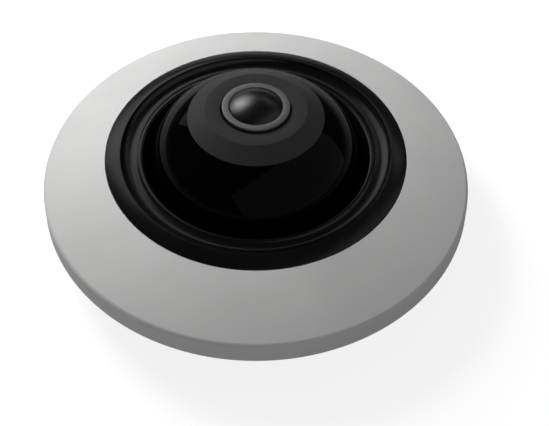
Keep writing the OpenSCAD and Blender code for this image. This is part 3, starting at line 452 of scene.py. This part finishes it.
def slab(bm, corner, opposite):
    """Adds a box between two opposite corners in mm and gives back its vertices."""
    corner, opposite = Vector(corner), Vector(opposite)
    sides = Matrix.Diagonal([abs(side) * MM for side in opposite - corner])
    place = Matrix.Translation((corner + opposite) / 2 * MM) @ sides.to_4x4()
    return bmesh.ops.create_cube(bm, size=1, matrix=place)["verts"]


def edges_along(verts, axis):
    """Edges of these vertices that run along an axis, 0 to 2, or all of them for None."""
    edges = list(dict.fromkeys(e for v in verts for e in v.link_edges))
    return [e for e in edges if axis is None
        or abs((e.verts[0].co - e.verts[1].co).normalized()[axis]) > 0.99]


def round_edges(bm, verts, width, axis=None, segments=3):
    """Rounds the edges of these vertices along an axis."""
    round_off(bm, edges_along(verts, axis), width, segments)


# Metal as rolled, brushed or plated: its lines or grains are some 0.02 mm wide in truth, and are
# drawn at grain mm so that they show. A stretch over 1 across the lines draws them out.
def worked_metal(name, colour, roughness, stretch=(1, 1, 1), grain=0.3, relief=0.002,
        unevenness=0.08):
    material, tree, shader = start_material(name, {"Base Color": linear(colour), "Metallic": 1.0})
    place = add(tree, "ShaderNodeTexCoord", {}).outputs["Object"]
    drawn = add(tree, "ShaderNodeMapping", {"Vector": place, "Scale": stretch})
    lines = add(tree, "ShaderNodeTexNoise", {
        "Vector": drawn.outputs["Vector"], "Scale": 1 / (grain * MM), "Detail": 2})
    bump = add(tree, "ShaderNodeBump", {"Distance": relief * MM, "Height": lines.outputs["Fac"]})
    tree.links.new(bump.outputs["Normal"], shader.inputs["Normal"])
    shine = add(tree, "ShaderNodeMapRange", {
        "Value": lines.outputs["Fac"], "From Min": noise_low, "From Max": noise_high,
        "To Min": roughness - unevenness, "To Max": roughness + unevenness})
    tree.links.new(shine.outputs["Result"], shader.inputs["Roughness"])
    return material


label = bmesh.new()
round_edges(label, slab(label, *span("label_plate")), width=1.2, axis=2)
label_foil = worked_metal("Brushed aluminium foil", "#C9C9CB", 0.35, stretch=(1, 18, 1), grain=1.2)
fit(as_object(label, "label_foil"), "camera", "label_foil", label_foil, "label_plate")

# Rubber parts: the bush that guards the lead, the gasket under the centre ring and the lens seal.
# Moulded or cut black EPDM, matt with a slight bloom where it has been handled.
rubber = moulded_plastic("Black EPDM rubber", "#1B1B1B", 0.78, grain=0.5, relief=0.01, clouds=0.08)
for node, edge in (("cable_bush", 0.3), ("dome_gasket", 0.1), ("lens_seal", 0.25)):
    fit(softened_copy(node, edge), "camera", "black_rubber", rubber, node)

# Screws: cross-recessed pan heads in three thread sizes, for cover, dome, boards and lens holder.
# Cold-headed steel with bright zinc plating; the edges of head and recess are slightly rounded.
zinc = worked_metal("Zinc-plated steel", "#B9BCC0", 0.32, grain=0.5)
for node, edge in (("cover_screws", 0.22), ("main_board_screws", 0.22),
        ("sensor_board_screws", 0.18), ("dome_screws", 0.18), ("holder_screws", 0.12)):
    fit(softened_copy(node, edge), "camera", "screw_steel", zinc, node)

# Lens barrel with its spacer and retainer: threaded tube that holds the three glasses in line.
# Turned aluminium, anodised matt black inside and out so that it throws no light back.
black_anodised = turned_aluminium("Black anodised aluminium", "#1C1C1D", 0.55, pitch=0.5)
for node in ("lens_barrel", "lens_spacer", "lens_retainer"):
    fit(softened_copy(node, edge=0.1), "camera", "black_anodised", black_anodised, node)


# Inner lenses: a hollow one behind the spacer and a full one at the sensor end of the barrel.
# Ground and polished flint glass with a faint green coating.
def polished(radius, land, edge_low, edge_high, bulge_low, bulge_high):
    """Lens with a flat land round each face. A bulge under 0 is a hollow."""
    low_way, high_way = (-1 if bulge_low > 0 else 1), (1 if bulge_high > 0 else -1)
    low_face = [(r, edge_low + low_way * z) for r, z in cap(land, 0, abs(bulge_low))]
    high_face = [(r, edge_high + high_way * z) for r, z in cap(land, 0, abs(bulge_high))]
    return turned([(radius, edge_low), (radius, edge_high)] + high_face + low_face[::-1], steps=96)


coated_flint = optical_glass("Coated flint glass", "#E4F0EA", 1.62, tint="#BFE8CF")
land_w = 0.8
second_low, second_high = span("second_lens")
second = polished(second_high.x, second_high.x - land_w, second_low.z, second_high.z,
    bulge_low=-0.5, bulge_high=-1.0)
fit(as_object(second, "second_glass"), "camera", "inner_glass", coated_flint, "second_lens")
rear_low, rear_high = span("rear_lens")
rear_crown = 0.7
rear = polished(rear_high.x, rear_high.x - land_w, rear_low.z + rear_crown,
    rear_high.z - rear_crown, bulge_low=rear_crown, bulge_high=rear_crown)
fit(as_object(rear, "rear_glass"), "camera", "inner_glass", coated_flint, "rear_lens")

# Lock nut and board spacers: the thin nut that fixes the focus and the hexagon posts of the boards.
# Turned brass, left bare, with a warm shine that has dulled a little.
brass = worked_metal("Turned brass", "#C9A45C", 0.3, stretch=(1, 1, 12), grain=0.8)
for node in ("lens_lock_nut", "board_standoffs"):
    fit(softened_copy(node, edge=0.12), "camera", "brass_nut", brass, node)

# Lens holder: turret for the barrel over a flat chamber for the filter slide, screwed to the board.
# Black glass-filled nylon, dull so that no stray light reaches the sensor.
dull_nylon = moulded_plastic("Black glass-filled nylon", "#19191A", 0.62, grain=0.6, relief=0.01)
fit(softened_copy("lens_holder", edge=0.15), "camera", "black_matt_plastic", dull_nylon,
    "lens_holder")

# Day and night filter: a black slide with two windows that the lever pushes across the sensor.
# By day light passes an infrared-cut glass, pale cyan with a pink glint; by night a plain one.
fit(softened_copy("filter_frame", edge=0.08), "filter", "black_matt_plastic", dull_nylon,
    "filter_frame")
cut_coating = optical_glass("Infrared-cut coated glass", "#A9DDE2", 1.52, tint="#FF9AA8")
clear_float = optical_glass("Clear float glass", "#F2F7F5", 1.52)
for node, slot, glass_kind in (("ir_cut_filter", "filter_glass", cut_coating),
        ("clear_filter", "inner_glass", clear_float)):
    window = bmesh.new()
    round_edges(window, slab(window, *span(node)), width=0.06, segments=2)
    fit(as_object(window, node + "_window"), "filter", slot, glass_kind, node)

# Filter lever and its magnet: arm, pin and shaft in one moulding, turned by the magnet round it.
# Natural acetal, creamy and slippery, under a nickel-plated ring of pressed magnet powder.
acetal = moulded_plastic("Natural acetal", "#DEDCD2", 0.35, grain=0.6)
fit(softened_copy("filter_lever", edge=0.1), "lever", "lever_plastic", acetal, "filter_lever")
nickel = worked_metal("Nickel-plated magnet", "#B4B1AA", 0.28, grain=0.6, relief=0.004)
fit(softened_copy("lever_magnet", edge=0.25), "lever", "magnet_metal", nickel, "lever_magnet")

# Filter coil: winding round the magnet, between the cheeks of a black bobbin.
# Enamelled copper wire of 0.1 mm, drawn as turns of 0.35 mm so that they show, with painted shade
# between the turns and a painted highlight on each.
coil_low, coil_high = span("filter_coil")
coil_middle = (coil_low + coil_high) / 2
half_x, half_y = coil_high.x - coil_middle.x, coil_high.y - coil_middle.y
cheek = 0.7
cheek_step = 0.05
waist = 0.35
wound_low, wound_high = coil_low.z + cheek, coil_high.z - cheek
coil = merged_copy("filter_coil")
for z in (wound_low, wound_low + cheek_step, wound_high - cheek_step, wound_high):
    bmesh.ops.bisect_plane(coil, geom=coil.verts[:] + coil.edges[:] + coil.faces[:],
        dist=0.0001 * MM, plane_co=(0, 0, z * MM), plane_no=(0, 0, 1))
join_flats(coil, delimit={"NORMAL"})
in_waist = [v for v in coil.verts
    if wound_low + cheek_step - NEAR < v.co.z / MM < wound_high - cheek_step + NEAR
    and abs(v.co.y / MM - coil_middle.y) > half_y - NEAR]
bmesh.ops.scale(coil, verts=in_waist, space=Matrix.Translation(-coil_middle * MM),
    vec=(1 - waist / half_x, 1 - waist / half_y, 1))
bobbin = as_object(coil, "coil_and_bobbin")
fit(bobbin, "camera", "coil_copper", dull_nylon, "filter_coil")
turn_pitch = 0.35
enamelled, tree, shader = start_material("Enamelled copper wire", {
    "Metallic": 1.0, "Roughness": 0.3, "Coat Weight": 0.6, "Coat Roughness": 0.15})
place = add(tree, "ShaderNodeTexCoord", {}).outputs["Object"]
turns = add(tree, "ShaderNodeTexWave", {
    "Vector": place, "Scale": wave / (turn_pitch * MM), "Distortion": 0.4, "Detail": 1},
    wave_type="BANDS", bands_direction="Z")
wire_bump = add(tree, "ShaderNodeBump", {"Distance": 0.05 * MM, "Height": turns.outputs["Fac"]})
tree.links.new(wire_bump.outputs["Normal"], shader.inputs["Normal"])
# Painted shade and highlight: the copper is painted dark brown in the groove between turns and
# bright on each turn's crown.
tint = add(tree, "ShaderNodeValToRGB", {"Fac": turns.outputs["Fac"]})
tint.color_ramp.elements[0].color = linear("#6E3315")
tint.color_ramp.elements[1].color = linear("#C4713C")
tree.links.new(tint.outputs["Color"], shader.inputs["Base Color"])
bore_r = 3
second_finish(bobbin, enamelled, lambda at, normal: wound_low < at.z < wound_high
    and hypot(at.x - coil_middle.x, at.y - coil_middle.y) > bore_r)

# Image sensor: ceramic package with the die sunk in its top, under a cemented cover glass.
# The die shines blue and violet, as fine pixel rows do.
sensor_low, sensor_high = span("image_sensor")
package = bmesh.new()
round_edges(package, slab(package, sensor_low, sensor_high), width=0.25, axis=2)
top = max(package.faces, key=lambda face: face.calc_center_median().z)
package_rim = 1.1
bmesh.ops.inset_region(package, faces=[top], thickness=package_rim * MM, depth=0)
die_face = max(package.faces, key=lambda face: (face.calc_center_median().z, face.calc_area()))
die_face.material_index = 1
ceramic = moulded_plastic("Fired dark ceramic", "#3A3437", 0.5, grain=0.4)
sensor = as_object(package, "sensor_package")
fit(sensor, "camera", "sensor_ceramic", ceramic, "image_sensor")
die, tree, shader = start_material("Silicon pixel array", {"Metallic": 0.8, "Roughness": 0.15})
place = add(tree, "ShaderNodeTexCoord", {}).outputs["Object"]
sheen_w = 4
drift = add(tree, "ShaderNodeTexNoise", {
    "Vector": place, "Scale": 1 / (sheen_w * MM), "Detail": 1})
rainbow = add(tree, "ShaderNodeValToRGB", {"Fac": drift.outputs["Fac"]})
rainbow.color_ramp.elements[0].color = linear("#1F2C5A")
rainbow.color_ramp.elements[1].color = linear("#5A3A66")
tree.links.new(rainbow.outputs["Color"], shader.inputs["Base Color"])
sensor.data.materials.append(die)
cover_glass = bmesh.new()
round_edges(cover_glass, slab(cover_glass, *span("sensor_glass")), width=0.05, segments=2)
fit(as_object(cover_glass, "sensor_cover_glass"), "camera", "inner_glass", clear_float,
    "sensor_glass")


# Circuit boards: the round main board on the shell's posts and the small sensor board above it.
# Glass-epoxy under green solder mask, with copper tracks that show lighter, and bare cut edges.
cell = 5
track_pitch = 1
bare_share = 0.45


# Solder mask over copper: real tracks are 0.2 mm wide. They are drawn 0.5 mm wide, all one way
# within a cell of about 5 mm, and some cells have none.
def track_board(name):
    material, tree, shader = start_material(name, {
        "Roughness": 0.35, "IOR": 1.5, "Coat Weight": 0.3, "Coat Roughness": 0.12})
    place = add(tree, "ShaderNodeTexCoord", {}).outputs["Object"]
    flat = add(tree, "ShaderNodeMapping", {"Vector": place, "Scale": (1, 1, 0)}).outputs["Vector"]
    cells = add(tree, "ShaderNodeTexVoronoi", {"Vector": flat, "Scale": 1 / (cell * MM)},
        distance="CHEBYCHEV")
    pick = add(tree, "ShaderNodeSeparateColor", {"Color": cells.outputs["Color"]})
    across = add(tree, "ShaderNodeTexWave", {"Vector": flat, "Scale": wave / (track_pitch * MM)},
        wave_type="BANDS", bands_direction="X")
    along = add(tree, "ShaderNodeTexWave", {"Vector": flat, "Scale": wave / (track_pitch * MM)},
        wave_type="BANDS", bands_direction="Y")
    turn = add(tree, "ShaderNodeMath", {0: pick.outputs["Red"], 1: 0.5}, operation="GREATER_THAN")
    lines = add(tree, "ShaderNodeMix", {
        "Factor": turn.outputs[0], "A": across.outputs["Fac"], "B": along.outputs["Fac"]},
        data_type="FLOAT")
    track = add(tree, "ShaderNodeMapRange", {
        "Value": lines.outputs["Result"], "From Min": 0.45, "From Max": 0.6})
    laid = add(tree, "ShaderNodeMath", {0: pick.outputs["Green"], 1: bare_share},
        operation="GREATER_THAN")
    copper = add(tree, "ShaderNodeMath", {0: track.outputs["Result"], 1: laid.outputs[0]},
        operation="MULTIPLY")
    mask = add(tree, "ShaderNodeValToRGB", {"Fac": copper.outputs[0]})
    mask.color_ramp.elements[0].color = linear("#0F4A2A")
    mask.color_ramp.elements[1].color = linear("#2C7A48")
    tree.links.new(mask.outputs["Color"], shader.inputs["Base Color"])
    step = add(tree, "ShaderNodeBump", {"Distance": 0.03 * MM, "Height": copper.outputs[0]})
    tree.links.new(step.outputs["Normal"], shader.inputs["Normal"])
    return material


green_mask = track_board("Green solder mask over copper")
cut_edge = moulded_plastic("Cut glass-epoxy edge", "#9A9460", 0.7, grain=0.4)
for node in ("main_board", "sensor_board"):
    board = softened_copy(node, edge=0.05)
    fit(board, "camera", "board_green", green_mask, node)
    second_finish(board, cut_edge, lambda at, normal: abs(normal.z) < 0.5)

# Ribbon connectors and flat cable: a low socket on each board with a film cable looped between.
# Ivory nylon with a brown latch bar; amber polyimide film with conductors at a 1 mm pitch.
ivory_nylon = moulded_plastic("Ivory nylon", "#D9D0B4", 0.48)
latch_brown = moulded_plastic("Brown latch nylon", "#3B2A20", 0.5)
tinned = worked_metal("Tinned contact", "#C7C8CA", 0.3, grain=0.4)
sockets_low, sockets_high = span("ribbon_connectors")
socket_t = 1.1
latch_w = 0.9
latch_end = 0.3
latch_sunk = 0.1
contact_w = 0.4
contact_out = 0.3
contact_z = 0.35
ribbon_count = 8
ribbon_pitch = 1.0
bodies_of_sockets = bmesh.new()
latches = bmesh.new()
contacts = bmesh.new()
for low_z in (sockets_low.z, sockets_high.z - socket_t):
    round_edges(bodies_of_sockets, slab(bodies_of_sockets,
        (sockets_low.x + latch_w, sockets_low.y, low_z),
        (sockets_high.x - contact_out, sockets_high.y, low_z + socket_t)), width=0.12, segments=2)
    round_edges(latches, slab(latches,
        (sockets_low.x, sockets_low.y + latch_end, low_z + latch_sunk),
        (sockets_low.x + latch_w, sockets_high.y - latch_end, low_z + socket_t - latch_sunk)),
        width=0.15, axis=1)
    for i in range(ribbon_count):
        y = (i - (ribbon_count - 1) / 2) * ribbon_pitch
        slab(contacts, (sockets_high.x - contact_w, y - contact_w / 2, low_z + contact_z),
            (sockets_high.x, y + contact_w / 2, low_z + contact_z + contact_w))
fit(as_object(bodies_of_sockets, "ribbon_sockets"), "camera", "ivory_plastic", ivory_nylon,
    "ribbon_connectors")
fit(as_object(latches, "ribbon_latches"), "camera", "ivory_plastic", latch_brown,
    "ribbon_connectors")
fit(as_object(contacts, "ribbon_contacts"), "camera", "ivory_plastic", tinned, "ribbon_connectors")
film, tree, shader = start_material("Polyimide film over conductors", {
    "Roughness": 0.25, "IOR": 1.6, "Coat Weight": 0.5, "Coat Roughness": 0.1})
place = add(tree, "ShaderNodeTexCoord", {}).outputs["Object"]
conductors = add(tree, "ShaderNodeTexWave", {
    "Vector": place, "Scale": wave / (ribbon_pitch * MM)}, wave_type="BANDS", bands_direction="Y")
amber = add(tree, "ShaderNodeValToRGB", {"Fac": conductors.outputs["Fac"]})
for stop, position, shade in zip(amber.color_ramp.elements, (0.4, 0.55), ("#8A4A12", "#C98A3A")):
    stop.position = position
    stop.color = linear(shade)
tree.links.new(amber.outputs["Color"], shader.inputs["Base Color"])
fit(softened_copy("flat_cable", edge=0.05), "camera", "ribbon_film", film, "flat_cable")


# Chips: the main processor under a thermal pad, two memory chips and the network transformer.
# Black moulded epoxy, laser-matt on top, on rows of tinned legs that are soldered to the board.
def legs(bm, low, high, reach, count, sides, foot_z, board_way):
    """Rows of bent legs along the sides 'x' or 'y' of a chip, from its body out to its box."""
    thick, foot_l, knee_h, shoulder_l = 0.2, 0.7, 0.6, 1.1
    for side in sides:
        run = 1 if side == "x" else 0
        pitch = (high[run] - low[run] - 2 * reach) / count
        half_w = 0.2 * pitch
        for i in range(count):
            at = low[run] + reach + (i + 0.5) * pitch
            for edge, inward in ((low[1 - run], reach), (high[1 - run], -reach)):
                for start, end, bottom, top in (
                        (0, foot_l, 0, thick),
                        (foot_l - thick, foot_l, 0, knee_h),
                        (foot_l - thick, shoulder_l, knee_h, knee_h + thick)):
                    corner = [at - half_w, at - half_w, foot_z + board_way * bottom]
                    opposite = [at + half_w, at + half_w, foot_z + board_way * top]
                    corner[1 - run], opposite[1 - run] = edge + inward * start, edge + inward * end
                    slab(bm, corner, opposite)


epoxy = moulded_plastic("Black moulded epoxy", "#1E1E1F", 0.55, grain=0.35)
leg_reach = 0.9
chip_w = 9
stand_off = Vector((0, 0, 0.1))
for node, sides, count, board_above in (("main_processor", "xy", 20, True),
        ("memory_chips", "y", 9, True), ("network_transformer", "y", 8, False)):
    low, high = span(node)
    boxes = [(low, high)]
    if node == "memory_chips":
        boxes = [(low, Vector((low.x + chip_w, high.y, high.z))),
            (Vector((high.x - chip_w, low.y, low.z)), high)]
    side_room = Vector((leg_reach if "x" in sides else 0, leg_reach if "y" in sides else 0, 0))
    cases = bmesh.new()
    rows_of_legs = bmesh.new()
    for low, high in boxes:
        case_low = low + side_room + (Vector() if board_above else stand_off)
        case_high = high - side_room - (stand_off if board_above else Vector())
        round_edges(cases, slab(cases, case_low, case_high), width=0.15, segments=2)
        legs(rows_of_legs, low, high, leg_reach, count, sides,
            high.z if board_above else low.z, -1 if board_above else 1)
    fit(as_object(cases, node + "_case"), "camera", "chip_black", epoxy, node)
    fit(as_object(rows_of_legs, node + "_legs"), "camera", "chip_black", tinned, node)

# Capacitors: two surface-mounted electrolytic cans on square bases with cut corners.
# Drawn aluminium with a crimped neck and a black half on top; the base is black nylon.
capacitor_low, capacitor_high = span("capacitors")
low_z, top_z = capacitor_low.z, capacitor_high.z
can_r = 2.8
can_lift = 0.2
can_edge = 0.3
base_h = 0.8
base_cut = 1.2
crimp = 0.25
crimp_z = low_z + base_h + 0.45
can_places = [Vector((x, (capacitor_low.y + capacitor_high.y) / 2, 0))
    for x in (capacitor_low.x + can_r, capacitor_high.x - can_r)]
cans = turned([(0, low_z + can_lift), (can_r - can_lift, low_z + can_lift),
    (can_r, low_z + can_lift + can_edge), (can_r, crimp_z - crimp), (can_r - crimp, crimp_z),
    (can_r, crimp_z + crimp), (can_r, top_z - can_edge), (can_r - can_edge, top_z), (0, top_z)],
    steps=48)
bmesh.ops.translate(cans, verts=cans.verts, vec=can_places[0] * MM)
second_can = bmesh.ops.duplicate(cans, geom=cans.verts[:] + cans.edges[:] + cans.faces[:])["geom"]
bmesh.ops.translate(cans, verts=[v for v in second_can if isinstance(v, bmesh.types.BMVert)],
    vec=(can_places[1] - can_places[0]) * MM)
bases = bmesh.new()
for middle in can_places:
    base = slab(bases, middle + Vector((-can_r, -can_r, low_z)),
        middle + Vector((can_r, can_r, low_z + base_h)))
    far = [e for e in edges_along(base, axis=2) if e.verts[0].co.y / MM > middle.y]
    round_off(bases, far, base_cut, segments=1)
can_metal = worked_metal("Drawn aluminium can", "#C4C5C8", 0.28, stretch=(1, 1, 8), grain=0.8)
can_pieces = as_object(cans, "capacitor_cans")
fit(can_pieces, "camera", "can_aluminium", can_metal, "capacitors")
mark_x = 0.3
second_finish(can_pieces, epoxy, lambda at, normal: at.z > top_z - NEAR
    and at.x > min(can_places, key=lambda place: abs(at.x - place.x)).x + mark_x)
fit(as_object(bases, "capacitor_bases"), "camera", "can_aluminium", dull_nylon, "capacitors")

# Power inductors: two shielded coils in pressed blocks with cut corners.
# Pressed ferrite, slate grey and slightly coarse.
ferrite = moulded_plastic("Pressed ferrite", "#4A4B4F", 0.65, grain=0.5, relief=0.02)
fit(softened_copy("power_inductors", edge=0.25), "camera", "ferrite_grey", ferrite,
    "power_inductors")

# Thermal pad and heat spreader: they lead the processor's heat down into the shell's floor.
# Cut silicone pad, pale violet and soft; a plain extruded aluminium block with three slots.
silicone = moulded_plastic("Filled silicone pad", "#B3AFC4", 0.7, grain=0.5, relief=0.01)
fit(softened_copy("thermal_pad", edge=0.1), "camera", "pad_silicone", silicone, "thermal_pad")
extruded = worked_metal("Extruded aluminium", "#BFC1C4", 0.36, stretch=(14, 1, 14), grain=1.0)
fit(softened_copy("heat_spreader", edge=0.15), "camera", "spreader_aluminium", extruded,
    "heat_spreader")

# Cable header: the shrouded plug-in header that the lead ends in, eight pins in a row.
# Ivory nylon shroud with square tinned pins.
header_low, header_high = span("cable_header")
header = softened_copy("cable_header", edge=0.08)
fit(header, "camera", "ivory_plastic", ivory_nylon, "cable_header")
header_wall = 0.8
pin_half = 0.31
pin_tip = 0.2
second_finish(header, tinned, lambda at, normal:
    abs(at.z - (header_low.z + header_high.z) / 2) < pin_half
    and abs(at.x) < header_high.x - header_wall - NEAR
    and header_low.y + pin_tip < at.y < header_high.y - header_wall - NEAR)

# Card socket: stamped shell that guides the memory card and presses it on its contacts.
# Thin rolled steel strip with a tin plating; the grain runs along the card.
strip = worked_metal("Tin-plated steel strip", "#C2C4C6", 0.3, stretch=(1, 14, 14), grain=1.0)
fit(softened_copy("card_socket", edge=0.08), "camera", "socket_steel", strip, "card_socket")

# Memory card: the small card that slides out into the pocket, with a thumb grip at its end.
# Plain black moulding with eight gold-plated contacts on the face towards the board's edge.
card_low, card_high = span("memory_card")
card = merged_copy("memory_card")
join_flats(card)
contact_t = 0.03
upper = [v for v in card.verts if v.co.z / MM > card_high.z - NEAR]
bmesh.ops.translate(card, verts=upper, vec=(0, 0, -contact_t * MM))
card_black = moulded_plastic("Plain black card", "#17171A", 0.45, grain=0.4)
fit(as_object(card, "card_body"), "card", "card_plastic", card_black, "memory_card")
gold = worked_metal("Gold-plated contact", "#D9B25A", 0.22, grain=0.4)
fingers = bmesh.new()
finger_count = 8
finger_pitch = 1.1
finger_w = 0.7
finger_l = 2.6
finger_x = card_low.x + 0.6
for i in range(finger_count):
    y = (card_low.y + card_high.y) / 2 + (i - (finger_count - 1) / 2) * finger_pitch
    slab(fingers, (finger_x, y - finger_w / 2, card_high.z - contact_t),
        (finger_x + finger_l, y + finger_w / 2, card_high.z))
fit(as_object(fingers, "card_contacts"), "card", "card_plastic", gold, "memory_card")

# Reset switch and button: a side-pressed tact switch and the sprung cap that reaches the pocket.
# Black switch case with a pale nub; the button is moulded in the shell's ABS.
switch = softened_copy("reset_switch", edge=0.12)
fit(switch, "camera", "chip_black", epoxy, "reset_switch")
nub_l = 0.4
switch_high = span("reset_switch")[1]
second_finish(switch, ivory_nylon, lambda at, normal: at.x > switch_high.x - nub_l + NEAR)
fit(softened_copy("reset_button", edge=0.12), "button", "button_plastic", shell_abs,
    "reset_button")

# Floor and backdrop: a wide sheet of white paper under the camera, which keeps its soft shadow.
# It glows by itself, so that it is seen white and yet throws and mirrors only a little light.
floor_w = 8
glow_seen = 0.82
glow_thrown = 0.18
glow_mirrored = 0.06
bpy.ops.mesh.primitive_plane_add(size=floor_w)
floor = bpy.context.object
floor.name = "floor"
floor.location.z = cad_low.z
floor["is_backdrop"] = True
paper, tree = start_material("White paper floor", {})[:2]
rays = add(tree, "ShaderNodeLightPath", {})
seen = add(tree, "ShaderNodeMath", {
    0: rays.outputs["Is Camera Ray"], 1: rays.outputs["Is Transmission Ray"]},
    operation="ADD", use_clamp=True)
sheet_lit = add(tree, "ShaderNodeBsdfDiffuse", {"Color": (0.3, 0.3, 0.3, 1)})
backlight = add(tree, "ShaderNodeMapRange", {
    "Value": seen.outputs[0], "To Min": glow_thrown, "To Max": glow_seen})
mirrored = add(tree, "ShaderNodeMath", {
    0: rays.outputs["Is Glossy Ray"], 1: glow_mirrored - glow_thrown,
    2: backlight.outputs["Result"]}, operation="MULTIPLY_ADD")
glow = add(tree, "ShaderNodeEmission", {"Strength": mirrored.outputs[0]})
choice = add(tree, "ShaderNodeAddShader", {0: sheet_lit.outputs[0], 1: glow.outputs[0]})
tree.links.new(choice.outputs[0], tree.nodes["Material Output"].inputs["Surface"])
floor.data.materials.append(paper)

# Light: one soft key from behind on the left, in an even dim room that is mirrored dimmer still.
# The two cards are only mirrored, the key only lights, and the long panel behind does both.
world = bpy.data.worlds.new("Studio")
bpy.context.scene.world = world
world.use_nodes = True
tree = world.node_tree
background = tree.nodes["Background"]
background.inputs["Color"].default_value = (1, 1, 1, 1)
rays = add(tree, "ShaderNodeLightPath", {})
way = add(tree, "ShaderNodeTexCoord", {}).outputs["Generated"]
height = add(tree, "ShaderNodeSeparateXYZ", {"Vector": way}).outputs["Z"]
room = 0.22
mirrored_low, mirrored_high = 0.1, 0.04
horizon = 0.1
sky = add(tree, "ShaderNodeMapRange", {
    "Value": height, "From Min": 0.0, "From Max": horizon,
    "To Min": mirrored_low, "To Max": mirrored_high}, interpolation_type="SMOOTHSTEP")
gloss = add(tree, "ShaderNodeMix", {
    "Factor": rays.outputs["Is Glossy Ray"], "A": room, "B": sky.outputs["Result"]},
    data_type="FLOAT")
shown = add(tree, "ShaderNodeMix", {
    "Factor": rays.outputs["Is Camera Ray"], "A": gloss.outputs["Result"], "B": 1.0},
    data_type="FLOAT")
tree.links.new(shown.outputs["Result"], background.inputs["Strength"])


def softbox(name, azimuth, height, distance, wide, high, watts):
    """Flat lamp, wide by high metres, that faces the object from a direction in degrees."""
    lamp = bpy.data.lights.new(name, "AREA")
    lamp.shape = "RECTANGLE"
    lamp.size = wide
    lamp.size_y = high
    lamp.energy = watts
    box = bpy.data.objects.new(name, lamp)
    turn, rise = radians(azimuth), radians(height)
    box.location = distance * Vector((cos(turn) * cos(rise), sin(turn) * cos(rise), sin(rise)))
    box.rotation_euler = box.location.to_track_quat("Z", "Y").to_euler()
    box.visible_camera = False
    bpy.context.scene.collection.objects.link(box)
    return box


key = softbox("key", azimuth=129, height=37, distance=0.7, wide=0.3, high=0.3, watts=4.7)
key.visible_glossy = False
sheen = softbox("sheen card", azimuth=120, height=35, distance=0.7, wide=0.5, high=0.5, watts=0.65)
sheen.visible_diffuse = False
softbox("overhead panel", azimuth=88, height=40, distance=0.8, wide=1.3, high=0.2, watts=0.26)
front = softbox("front card", azimuth=318, height=30, distance=0.7, wide=2.6, high=1.1, watts=3.4)
front.visible_diffuse = False

# Camera: where the photograph was taken from, in front of the object and 50 degrees up.
# Aim, lens and shift were fitted to the circles of cover, ring, dome and lens in it.
aim = Vector((0, 0, -5.3 * MM))
view_height = radians(50.37)
view_distance = 0.26
camera_data = bpy.data.cameras.new("camera")
camera_data.sensor_width = 36
camera_data.lens = 56.29
camera_data.shift_x = 0.0339
camera = bpy.data.objects.new("camera", camera_data)
camera.location = aim + view_distance * Vector((0, -cos(view_height), sin(view_height)))
camera.rotation_euler = (aim - camera.location).to_track_quat("-Z", "Y").to_euler()
bpy.context.scene.collection.objects.link(camera)
bpy.context.scene.camera = camera
bpy.context.scene.view_settings.view_transform = "Standard"

low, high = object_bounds()
